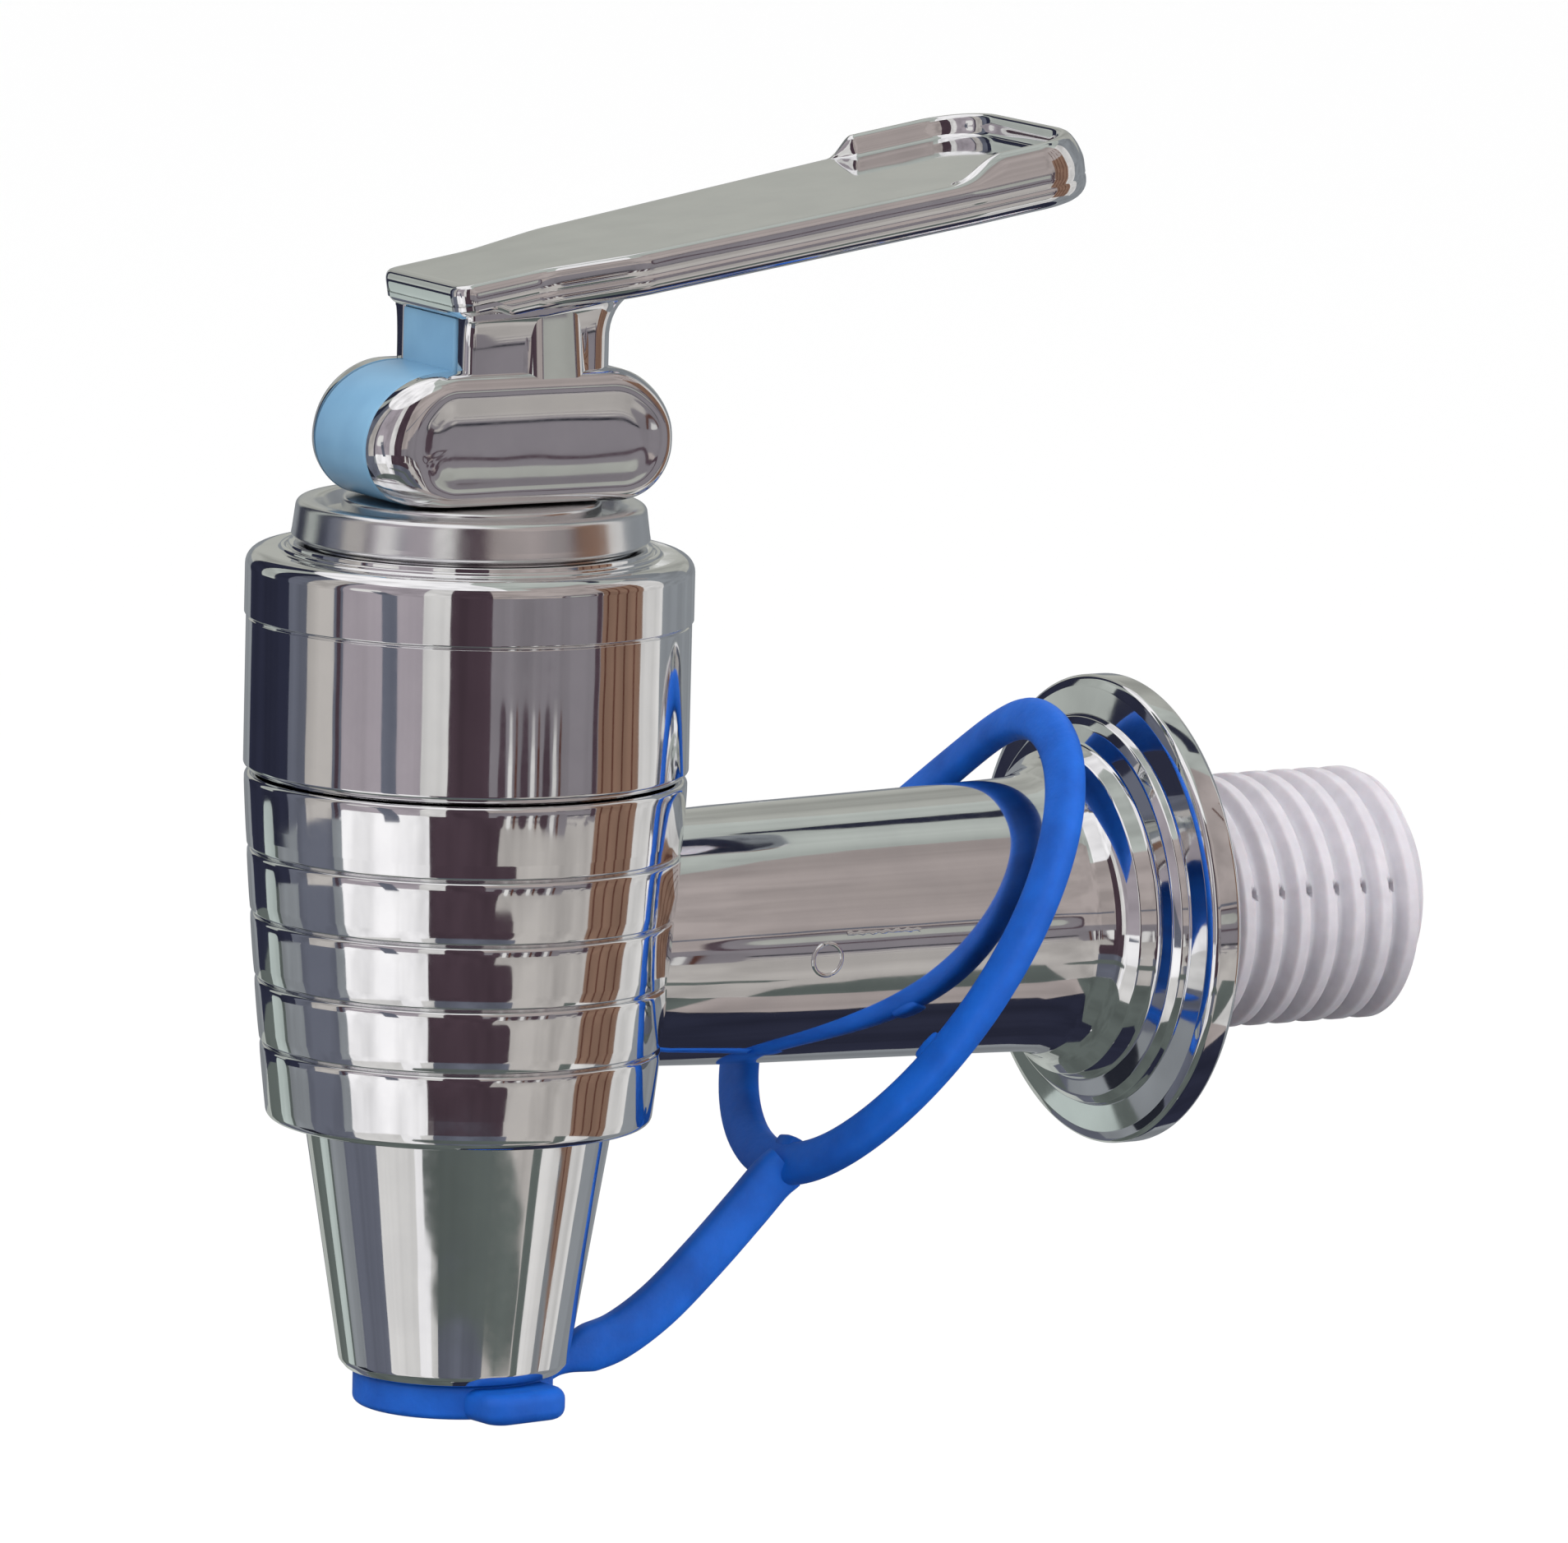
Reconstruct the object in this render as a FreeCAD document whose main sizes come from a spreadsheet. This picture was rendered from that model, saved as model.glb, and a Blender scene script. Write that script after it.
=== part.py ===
import FreeCAD, Part
import math
import os
from types import SimpleNamespace

import Sketcher
from FreeCAD import Placement, Rotation, Vector

# Lever tap for a drinks dispenser, in millimetres.
# The origin is the centre of the flange's back face on the shank's axis. +Z is up,
# +Y runs along the threaded shank into the dispenser's wall, and the barrel stands at -Y.
# Turned pieces are drawn about the barrel's axis and placed there as they are finished.

SIZES = [
    ("reach", 58.75, "flange's back face to the barrel's axis"),
    ("running_gap", 0.05, "clearance of pieces that slide or turn on each other"),
    ("seat_gap", 0.05, "clearance of pieces that are pushed together and stay"),
    ("body_gap", 0.1, "radial clearance of screwed or glued sleeves"),
    ("thread_r", 10.0, "crest radius of the shank's thread, nominal 20 mm"),
    ("thread_pitch", 2.5, "pitch of the shank's thread"),
    ("thread_depth", 1.05, "height of the rounded thread ridge"),
    ("thread_ridge", 2.2, "width of the ridge at its foot"),
    ("thread_crest", 0.9, "width of the ridge at its crest"),
    ("thread_lead", 1.4, "plain length before the first ridge"),
    ("shank_len", 22.75, "shank behind the flange"),
    ("shank_chamfer", 1.1, "chamfer of the shank's end"),
    ("shank_bore_r", 5.6, "water way through the shank"),
    ("plug_r", 8.0, "plug of the shank inside the pipe"),
    ("plug_len", 16.0, "length of that plug"),
    ("thread_recess", 1.0, "depth of the recess round the thread's root"),
    ("recess_gap", 0.3, "recess beyond the thread's crest"),
    ("flange_r", 18.4, "flange's radius"),
    ("flange_thick", 2.9, "flange's thickness"),
    ("step_r", 14.9, "second step in front of the flange"),
    ("step_len", 1.5, "length of the second step"),
    ("collar_r", 12.8, "collar in front of the step"),
    ("collar_len", 1.7, "length of the collar"),
    ("pipe_r", 10.75, "pipe at the collar"),
    ("pipe_taper", 0.027, "loss of radius per millimetre towards the barrel"),
    ("pipe_bore_r", 6.2, "water way through the pipe"),
    ("band_inset", 0.05, "banded barrel inside the cover at the seam"),
    ("band_taper", 0.05, "straight part of the barrel's taper"),
    ("band_bow", 0.0012, "curved part of the barrel's taper"),
    ("band_pitch", 5.0, "spacing of the band grooves"),
    ("first_band", 5.9, "seam to the first groove"),
    ("groove_half", 0.35, "half width of a band groove"),
    ("groove_depth", 0.6, "depth of a band groove"),
    ("shoulder_round", 0.9, "rounded top shoulder of a band"),
    ("seam_z", 14.0, "joint of banded barrel and upper cover"),
    ("band_foot_z", -12.85, "underside of the banded barrel"),
    ("foot_round", 0.9, "round of the underside's edge"),
    ("cone_r", 11.85, "spout cone at its root"),
    ("spout_r", 8.8, "spout cone at its mouth"),
    ("spout_z", -32.2, "spout's mouth"),
    ("spout_round", 0.6, "round of the mouth's edge"),
    ("mouth_r", 6.6, "bore of the spout at its mouth"),
    ("mouth_root_r", 8.6, "bore of the spout at its root"),
    ("ledge_width", 1.35, "width of the ledge in the valve chamber"),
    ("floor_z", -8.4, "chamber's floor"),
    ("floor_thick", 2.6, "thickness of that floor"),
    ("seat_r", 5.5, "outside of the valve seat"),
    ("seat_height", 2.0, "valve seat above the floor"),
    ("outlet_r", 4.0, "outlet through the valve seat"),
    ("ledge_z", 19.0, "ledge that carries the cover's gasket"),
    ("neck_z", 22.0, "top of the body's neck inside the cover"),
    ("neck_wall", 0.75, "wall of that neck"),
    ("cover_gap", 0.15, "upper cover's inside to the body's neck"),
    ("cover_step", 0.15, "step of the cover at its parting line"),
    ("parting_z", 25.9, "height of the parting line"),
    ("parting_depth", 0.2, "depth of the parting line"),
    ("cover_top_z", 31.0, "top of the upper cover"),
    ("cover_round", 1.6, "round of the cover's shoulder"),
    ("ridge_height", 0.3, "height of each fine ridge under the bonnet"),
    ("ridge_width", 0.7, "width of the outer fine ridge"),
    ("cover_wall", 1.75, "cover's side wall"),
    ("cover_roof", 2.4, "cover's roof"),
    ("tube_wall", 1.65, "wall of the cover's inner tube"),
    ("gasket_thick", 1.2, "flat gasket between cover and body"),
    ("sleeve_r", 12.5, "bonnet's screwed sleeve"),
    ("sleeve_wall", 2.1, "wall of that sleeve"),
    ("sleeve_z", 24.0, "lower end of that sleeve"),
    ("bonnet_lip", 1.2, "bonnet ring beyond its sleeve"),
    ("bonnet_taper", 0.4, "loss of radius up to the rim"),
    ("bonnet_low_z", 31.8, "foot of the bonnet ring"),
    ("bonnet_top_z", 34.8, "rim of the bonnet ring"),
    ("rim_width", 1.7, "width of the bonnet's rim"),
    ("dish_z", 33.5, "floor of the bonnet's dish"),
    ("dish_slope", 0.6, "slope between rim and dish"),
    ("boss_r", 9.9, "raised table that the lever's head stands on"),
    ("boss_z", 35.15, "top of that table"),
    ("dish_thick", 1.9, "thickness under the dish"),
    ("guide_tube_r", 7.2, "tube that holds the guide bush"),
    ("guide_z", 26.0, "lower end of that tube"),
    ("bush_wall", 1.2, "wall of the guide bush"),
    ("bush_flange_r", 6.4, "flange of the guide bush"),
    ("bush_flange", 0.8, "thickness of that flange"),
    ("o_ring_r", 0.6, "section radius of the bonnet's O-ring"),
    ("o_ring_z", 26.0, "height of the bonnet's O-ring"),
    ("stem_r", 4.0, "stem in its bush"),
    ("stem_top_z", 33.0, "top of the stem's round part"),
    ("tongue_half", 1.5, "half thickness of the stem's tongue"),
    ("tongue_r", 3.7, "rounded head of the tongue"),
    ("pin_z", 39.8, "height of the pivot pin"),
    ("pin_r", 1.5, "pivot pin's radius"),
    ("pin_len", 11.6, "pivot pin's length"),
    ("stem_ring_z", 29.6, "height of the stem's O-ring"),
    ("stem_ring_r", 0.65, "section radius of the stem's O-ring"),
    ("collar_z", 4.4, "underside of the stem's spring collar"),
    ("collar_thick", 1.6, "thickness of that collar"),
    ("spring_collar_r", 7.2, "radius of that collar"),
    ("stem_neck_r", 2.6, "neck that carries the valve seal"),
    ("button_r", 4.6, "button at the stem's foot"),
    ("button_top_z", -1.4, "top of that button"),
    ("button_thick", 2.0, "thickness of that button"),
    ("seal_r", 6.5, "valve seal's radius"),
    ("seal_top_r", 5.2, "valve seal's neck"),
    ("seal_top_z", 0.6, "top of the valve seal"),
    ("washer_thick", 0.8, "washer above the spring"),
    ("spring_r", 5.9, "mean radius of the spring"),
    ("wire_r", 0.55, "radius of the spring's wire"),
    ("spring_turns", 6.5, "turns of the spring"),
    ("head_half", 6.7, "half width of the lever's head"),
    ("head_toe", 11.5, "pin to the head's front end"),
    ("head_heel", 13.9, "pin to the head's end under the lever"),
    ("head_low_z", 35.2, "flat underside of the lever's head"),
    ("head_top_z", 45.4, "top of the lever's head"),
    ("head_low_round", 4.4, "lower rounds of the head"),
    ("head_top_round", 5.6, "upper rounds of the head"),
    ("toe_round", 3.0, "plan rounds of the head's front end"),
    ("heel_round", 1.2, "plan rounds of the head's other end"),
    ("core_half", 4.15, "half width of the coloured core"),
    ("core_heel", 9.0, "pin to the core's hidden end"),
    ("wall_half", 5.9, "half width of the lever's upright"),
    ("upright_front", 3.9, "pin to the upright's front"),
    ("upright_back", 9.3, "pin to the upright's back"),
    ("upright_round", 2.4, "rounds at the upright's back"),
    ("rib_front", 1.2, "pin to the front of the side rib"),
    ("rib_back", 5.9, "pin to the back of the side rib"),
    ("rib_top_z", 53.7, "top of the side rib"),
    ("plate_z", 52.8, "lever plate's top above the pin"),
    ("plate_tilt", 9.3, "lever plate's rise in degrees"),
    ("plate_thick", 3.5, "lever plate's thickness"),
    ("nose_thick", 2.8, "thickness of the nose"),
    ("gusset", 3.0, "fillet between the upright's back and the plate"),
    ("plate_nose", 5.1, "pin to the plate's nose"),
    ("nose_half", 6.5, "half width of the nose"),
    ("flare_start", 2.5, "where the plate begins to widen"),
    ("flare_end", 9.0, "where it has widened"),
    ("plate_half", 8.6, "half width after the flare"),
    ("paddle_half", 10.3, "half width of the paddle"),
    ("plate_tip", 50.3, "pin to the paddle's tip along the plate"),
    ("rail_start", 36.5, "where the paddle's raised border begins"),
    ("rail_height", 1.6, "height of that border"),
    ("rail_width", 1.7, "width of that border"),
    ("edge_round", 0.7, "rounds of the plate's edges"),
    ("cap_r", 7.7, "spout cap's disc"),
    ("cap_thick", 2.7, "thickness of that disc"),
    ("cap_plug_len", 4.5, "plug of the cap inside the spout"),
    ("cap_wall", 1.5, "wall of that plug"),
    ("tab_half", 3.8, "half width of the pull tab"),
    ("tab_reach", 10.6, "barrel's axis to the tab's end"),
    ("tab_thick", 2.3, "thickness of the tab"),
    ("tab_turn", 8.0, "turn of the tab from +X in degrees"),
    ("strap_thick", 2.2, "strap's thickness"),
    ("strap_wide", 3.9, "strap's width"),
    ("root_gap", 0.3, "strap's root to the cap's disc and the spout's mouth"),
    ("root_thick", 1.3, "strap's root at the cap's disc"),
    ("tail_gap", 1.4, "spout's mouth to the middle of the strap's start"),
    ("tail_rise", 0.5, "strap's start above the cap's disc"),
    ("bend_one_y", 14.4, "strap's first bend behind the barrel's axis"),
    ("bend_one_z", 1.7, "that bend above the cap's disc"),
    ("bend_two_y", 18.9, "strap's second bend"),
    ("bend_two_z", 4.9, "that bend above the cap's disc"),
    ("bend_three_y", 23.5, "strap's third bend"),
    ("bend_three_z", 9.0, "that bend above the cap's disc"),
    ("loop_wide", 3.4, "width of the loop's band"),
    ("loop_long", 19.5, "long half axis of the loop"),
    ("loop_short", 12.95, "short half axis of the loop"),
    ("loop_rise", 58.2, "slope of the loop's long axis in degrees"),
    ("loop_lean", 8.4, "lean of that axis to the right in degrees"),
    ("loop_roll", -9.9, "roll of the loop about that axis in degrees"),
    ("loop_y", -20.25, "loop's centre along the pipe"),
    ("loop_z", -0.75, "loop's centre above the pipe's axis"),
    ("loop_x", 0.35, "loop's centre beside the pipe's axis"),
]

doc = FreeCAD.newDocument("dispenser_tap")
sheet = doc.addObject("Spreadsheet::Sheet", "sizes")
for row, (alias, value, note) in enumerate(SIZES, start=1):
    sheet.set("A%d" % row, alias)
    sheet.set("B%d" % row, str(value))
    sheet.setAlias("B%d" % row, alias)
    sheet.set("C%d" % row, note)
doc.recompute()


class Size:
    """A number together with the sheet expression that gives it."""

    def __init__(self, value, text):
        self.value = value
        self.text = text

    def join(self, other, sign, value):
        return Size(value, "(%s %s %s)" % (self.text, sign, as_size(other).text))

    def __add__(self, other):
        return self.join(other, "+", self.value + as_size(other).value)

    def __sub__(self, other):
        return self.join(other, "-", self.value - as_size(other).value)

    def __mul__(self, other):
        return self.join(other, "*", self.value * as_size(other).value)

    def __truediv__(self, other):
        return self.join(other, "/", self.value / as_size(other).value)

    def __neg__(self):
        return Size(-self.value, "(0 - %s)" % self.text)


def as_size(number):
    """Gives plain numbers the form of a size."""
    if isinstance(number, Size):
        return number
    return Size(float(number), "(%r)" % float(number) if number < 0 else "%r" % float(number))


d = SimpleNamespace(**{alias: Size(float(sheet.get(alias)), "sizes." + alias) for alias, _, _ in SIZES})


def bind(item, prop, size):
    """Sets a property of an object from the sheet."""
    size = as_size(size)
    item.setExpression(prop, size.text)


def new_body(label):
    body = doc.addObject("PartDesign::Body", label)
    body.Label = label
    return body


def origin_plane(body, role):
    return next(plane for plane in body.Origin.OriginFeatures if plane.Role == role)


def new_sketch(body, name, role):
    sketch = body.newObject("Sketcher::SketchObject", name)
    sketch.AttachmentSupport = [(origin_plane(body, role), "")]
    sketch.MapMode = "FlatFace"
    return sketch


def hold(sketch, kind, corner, size):
    """Fixes one coordinate of a sketch corner to the sheet, or to the axis if it is zero."""
    size = as_size(size)
    if size.text == "0.0":
        sketch.addConstraint(Sketcher.Constraint("PointOnObject", corner, 1, -2 if kind == "DistanceX" else -1))
        return
    index = sketch.addConstraint(Sketcher.Constraint(kind, -1, 1, corner, 1, size.value))
    bind(sketch, "Constraints[%d]" % index, size)


def outline(body, name, role, corners):
    """A closed straight-sided sketch whose corners all follow the sheet."""
    sketch = new_sketch(body, name, role)
    spots = [Vector(as_size(a).value, as_size(b).value, 0) for a, b in corners]
    count = len(spots)
    for index in range(count):
        sketch.addGeometry(Part.LineSegment(spots[index], spots[(index + 1) % count]), False)
    for index in range(count):
        sketch.addConstraint(Sketcher.Constraint("Coincident", index, 2, (index + 1) % count, 1))
    for index, (first, second) in enumerate(corners):
        hold(sketch, "DistanceX", index, first)
        hold(sketch, "DistanceY", index, second)
    return sketch


def circle(body, name, role, across, up, radius):
    """A circle sketch with its centre and radius from the sheet."""
    sketch = new_sketch(body, name, role)
    centre = Vector(as_size(across).value, as_size(up).value, 0)
    sketch.addGeometry(Part.Circle(centre, Vector(0, 0, 1), as_size(radius).value), False)
    for kind, size in (("DistanceX", across), ("DistanceY", up)):
        size = as_size(size)
        if size.text == "0.0":
            sketch.addConstraint(Sketcher.Constraint("PointOnObject", 0, 3, -2 if kind == "DistanceX" else -1))
        else:
            index = sketch.addConstraint(Sketcher.Constraint(kind, -1, 1, 0, 3, size.value))
            bind(sketch, "Constraints[%d]" % index, size)
    index = sketch.addConstraint(Sketcher.Constraint("Radius", 0, as_size(radius).value))
    bind(sketch, "Constraints[%d]" % index, radius)
    return sketch


def turn(body, name, corners, axis="V_Axis", cut=False):
    """Revolves an outline in the YZ plane: about the upright axis, or about Y for H_Axis."""
    sketch = outline(body, name + "_outline", "YZ_Plane", corners)
    feature = body.newObject("PartDesign::Groove" if cut else "PartDesign::Revolution", name)
    feature.Profile = sketch
    feature.ReferenceAxis = (sketch, [axis])
    feature.Angle = 360
    body.Tip = feature
    return feature


def pad(body, name, sketch, length, both_ways=True):
    feature = body.newObject("PartDesign::Pad", name)
    feature.Profile = sketch
    feature.Midplane = both_ways
    bind(feature, "Length", length)
    body.Tip = feature
    return feature


def pocket(body, name, sketch, length):
    """Cuts a sketch out to both sides of its plane."""
    feature = body.newObject("PartDesign::Pocket", name)
    feature.Profile = sketch
    feature.Midplane = True
    bind(feature, "Length", length)
    body.Tip = feature
    return feature


def round_edges(body, name, radius, wanted):
    """Fillets the edges of the body's tip for which wanted(edge) is true."""
    doc.recompute()
    base = body.Tip
    names = ["Edge%d" % number for number, edge in enumerate(base.Shape.Edges, start=1) if wanted(edge)]
    if not names:
        raise RuntimeError("no edge found for " + name)
    feature = body.newObject("PartDesign::Fillet", name)
    feature.Base = (base, names)
    bind(feature, "Radius", radius)
    body.Tip = feature
    return feature


def ring_edge(spots, axis=Vector(0, 0, 1)):
    """Picks full circles by radius and height along an axis."""
    def wanted(edge):
        curve = edge.Curve
        if not isinstance(curve, Part.Circle):
            return False
        height = curve.Center.dot(axis)
        return any(abs(curve.Radius - as_size(r).value) < 0.001 and abs(height - as_size(h).value) < 0.001
                   for r, h in spots)
    return wanted


def upright_edge(spots):
    """Picks straight edges along Z by their place in plan."""
    def wanted(edge):
        box = edge.BoundBox
        if box.ZLength < 0.1 or box.XLength > 0.001 or box.YLength > 0.001:
            return False
        return any(abs(box.XMin - as_size(x).value) < 0.001 and abs(box.YMin - as_size(y).value) < 0.001
                   for x, y in spots)
    return wanted


def cross_edge(spots):
    """Picks straight edges along X by their place in side view."""
    def wanted(edge):
        box = edge.BoundBox
        if box.XLength < 0.1 or box.YLength > 0.001 or box.ZLength > 0.001:
            return False
        return any(abs(box.YMin - as_size(y).value) < 0.001 and abs(box.ZMin - as_size(z).value) < 0.001
                   for y, z in spots)
    return wanted


def on_barrel(item):
    """Places an object that was drawn about the barrel's axis."""
    bind(item, "Placement.Base.y", -d.reach)
    return item


def volume_of(item):
    doc.recompute()
    return item.Shape.Volume


nodes = []


def finish(item, label=None):
    """Registers an object as one sub-part."""
    if label:
        item.Label = label
    nodes.append(item)
    return item


# Radii that follow from the bonnet's sleeve outwards
tube_in_r = d.sleeve_r + d.body_gap
tube_out_r = tube_in_r + d.tube_wall
neck_in_r = tube_out_r + d.body_gap
neck_out_r = neck_in_r + d.neck_wall
chamber_r = neck_in_r - d.ledge_width
cover_in_r = neck_out_r + d.cover_gap
cover_r = cover_in_r + d.cover_wall
cover_ring_r = cover_r + d.cover_step
band_top_r = cover_r - d.band_inset
ridge_one_r = tube_out_r + d.cover_gap
ridge_two_r = ridge_one_r - d.ridge_width
bonnet_low_r = d.sleeve_r + d.bonnet_lip
bonnet_top_r = bonnet_low_r - d.bonnet_taper

# Banded barrel, spout, pipe and flange: one plated moulding

def band_radius(height):
    """The barrel's outer radius at a height below the seam."""
    drop = d.seam_z - height
    return band_top_r - drop * d.band_taper - drop * drop * d.band_bow


BANDS = 5
body = new_body("tap_body")
groove_heights = [d.seam_z - d.first_band - d.band_pitch * index for index in range(BANDS - 1)]
corners = [(0, d.neck_z), (neck_out_r, d.neck_z), (neck_out_r, d.seam_z), (band_top_r, d.seam_z)]
shoulders = []
for height in groove_heights:
    above = height + d.groove_half
    below = height - d.groove_half
    corners += [(band_radius(above), above), (band_radius(height) - d.groove_depth, height),
                (band_radius(below), below)]
    shoulders.append((band_radius(below), below))
foot_r = band_radius(d.band_foot_z)
corners += [(foot_r, d.band_foot_z), (d.cone_r, d.band_foot_z), (d.spout_r, d.spout_z), (0, d.spout_z)]
turn(body, "barrel", corners)
round_edges(body, "band_shoulders", d.shoulder_round, ring_edge(shoulders))
round_edges(body, "barrel_foot", d.foot_round, ring_edge([(foot_r, d.band_foot_z)]))
round_edges(body, "mouth_edge", d.spout_round, ring_edge([(d.spout_r, d.spout_z)]))

flange_front = d.reach - d.flange_thick
step_front = flange_front - d.step_len
collar_front = step_front - d.collar_len
pipe_root = chamber_r - 3.0
pipe_root_r = d.pipe_r - (collar_front - pipe_root) * d.pipe_taper
turn(body, "pipe", [
    (pipe_root, 0), (pipe_root, pipe_root_r), (collar_front, d.pipe_r), (collar_front, d.collar_r),
    (step_front, d.collar_r), (step_front, d.step_r), (flange_front, d.step_r), (flange_front, d.flange_r),
    (d.reach, d.flange_r), (d.reach, 0),
], axis="H_Axis")
along_y = Vector(0, 1, 0)
round_edges(body, "collar_coves", d.step_len - 0.4, ring_edge(
    [(d.pipe_r, collar_front), (d.collar_r, step_front), (d.step_r, flange_front)], along_y))
round_edges(body, "collar_edges", d.collar_len / 4, ring_edge(
    [(d.collar_r, collar_front), (d.step_r, step_front)], along_y))
round_edges(body, "flange_front_edge", d.flange_thick / 2, ring_edge([(d.flange_r, flange_front)], along_y))
round_edges(body, "flange_back_edge", d.flange_thick / 8, ring_edge([(d.flange_r, d.reach)], along_y))
outside_volume = volume_of(body)

floor_under = d.floor_z - d.floor_thick
seat_top = d.floor_z + d.seat_height
past = 1.0
turn(body, "chamber", [
    (0, d.neck_z + past), (neck_in_r, d.neck_z + past), (neck_in_r, d.ledge_z), (chamber_r, d.ledge_z),
    (chamber_r, d.floor_z), (d.seat_r, d.floor_z), (d.seat_r, seat_top), (d.outlet_r, seat_top),
    (d.outlet_r, floor_under), (d.mouth_root_r, floor_under), (d.mouth_r, d.spout_z),
    (d.mouth_r, d.spout_z - past), (0, d.spout_z - past),
], cut=True)
socket_floor = d.reach - d.plug_len
recess_floor = d.reach - d.thread_recess
turn(body, "water_way", [
    (pipe_root, 0), (pipe_root, d.pipe_bore_r), (socket_floor, d.pipe_bore_r),
    (socket_floor, d.plug_r + d.body_gap), (recess_floor, d.plug_r + d.body_gap),
    (recess_floor, d.thread_r + d.recess_gap), (d.reach + past, d.thread_r + d.recess_gap), (d.reach + past, 0),
], axis="H_Axis", cut=True)
if volume_of(body) > 0.6 * outside_volume:
    raise RuntimeError("the body's hollows are missing")
finish(on_barrel(body))

# White threaded shank, drawn about the origin
shank = new_body("shank")
core_r = d.thread_r - d.thread_depth
plug_end = -(d.plug_len - d.o_ring_r * 2)
root_end = d.seat_gap - d.thread_recess
turn(shank, "shank_core", [
    (plug_end, d.shank_bore_r), (plug_end, d.plug_r), (root_end, d.plug_r), (root_end, core_r),
    (d.shank_len, core_r), (d.shank_len, d.shank_bore_r),
], axis="H_Axis")
plain_volume = volume_of(shank)
ridge_mid = d.thread_lead + d.thread_ridge / 2
ridge_base = core_r - 0.2
ridge = outline(shank, "ridge_outline", "YZ_Plane", [
    (ridge_mid - d.thread_ridge / 2, ridge_base), (ridge_mid - d.thread_ridge / 2, core_r),
    (ridge_mid - d.thread_ridge * 0.36, core_r + d.thread_depth * 0.62),
    (ridge_mid - d.thread_crest / 2, d.thread_r), (ridge_mid + d.thread_crest / 2, d.thread_r),
    (ridge_mid + d.thread_ridge * 0.36, core_r + d.thread_depth * 0.62),
    (ridge_mid + d.thread_ridge / 2, core_r), (ridge_mid + d.thread_ridge / 2, ridge_base),
])
thread = shank.newObject("PartDesign::AdditiveHelix", "thread_ridge_sweep")
thread.Profile = ridge
thread.ReferenceAxis = (ridge, ["H_Axis"])
thread.Mode = 0
bind(thread, "Pitch", d.thread_pitch)
bind(thread, "Height", d.shank_len - d.thread_lead - d.thread_ridge)
shank.Tip = thread
if volume_of(shank) < plain_volume * 1.05:
    raise RuntimeError("the shank has no thread")
turn(shank, "shank_end", [
    (d.shank_len - d.shank_chamfer, d.thread_r + 0.05), (d.shank_len + past, d.thread_r - d.shank_chamfer - past),
    (d.shank_len + past, d.thread_r + past), (d.shank_len - d.shank_chamfer, d.thread_r + past),
], axis="H_Axis", cut=True)
finish(shank)


def flat_ring(label, inner, outer, low, high):
    """A washer or gasket about the barrel's axis."""
    ring = new_body(label)
    turn(ring, label + "_ring", [(inner, low), (outer, low), (outer, high), (inner, high)])
    return finish(on_barrel(ring))


def o_ring(label, middle_r, section_r, height):
    """An O-ring about the barrel's axis."""
    ring = doc.addObject("Part::Torus", label)
    bind(ring, "Radius1", middle_r)
    bind(ring, "Radius2", section_r)
    bind(ring, "Placement.Base.z", height)
    return finish(on_barrel(ring))


shank_ring = doc.addObject("Part::Torus", "shank_o_ring")
bind(shank_ring, "Radius1", d.plug_r - d.o_ring_r - d.seat_gap)
bind(shank_ring, "Radius2", d.o_ring_r - d.seat_gap)
shank_ring.Placement = Placement(Vector(), Rotation(Vector(1, 0, 0), 90))
bind(shank_ring, "Placement.Base.y", -(d.plug_len - d.o_ring_r))
finish(shank_ring)

# Upper cover
cover = new_body("upper_cover")
gasket_top = d.ledge_z + d.gasket_thick
roof_under = d.cover_top_z - d.cover_roof
ridge_one_z = d.cover_top_z + d.ridge_height
ridge_two_z = ridge_one_z + d.ridge_height
turn(cover, "cover", [
    (cover_r, d.seam_z + d.seat_gap), (cover_r, d.parting_z - d.parting_depth),
    (cover_r - d.parting_depth, d.parting_z), (cover_ring_r, d.parting_z + d.parting_depth),
    (cover_ring_r, d.cover_top_z), (ridge_one_r, d.cover_top_z), (ridge_one_r, ridge_one_z),
    (ridge_two_r, ridge_one_z), (ridge_two_r, ridge_two_z), (tube_in_r, ridge_two_z),
    (tube_in_r, gasket_top), (tube_out_r, gasket_top), (tube_out_r, roof_under), (cover_in_r, roof_under),
    (cover_in_r, d.seam_z + d.seat_gap),
])
round_edges(cover, "cover_shoulder", d.cover_round, ring_edge([(cover_ring_r, d.cover_top_z)]))
round_edges(cover, "cover_foot", d.groove_half, ring_edge([(cover_r, d.seam_z + d.seat_gap)]))
finish(on_barrel(cover))
flat_ring("cover_gasket", chamber_r + d.seat_gap, neck_in_r - d.seat_gap, d.ledge_z, gasket_top)

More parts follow.
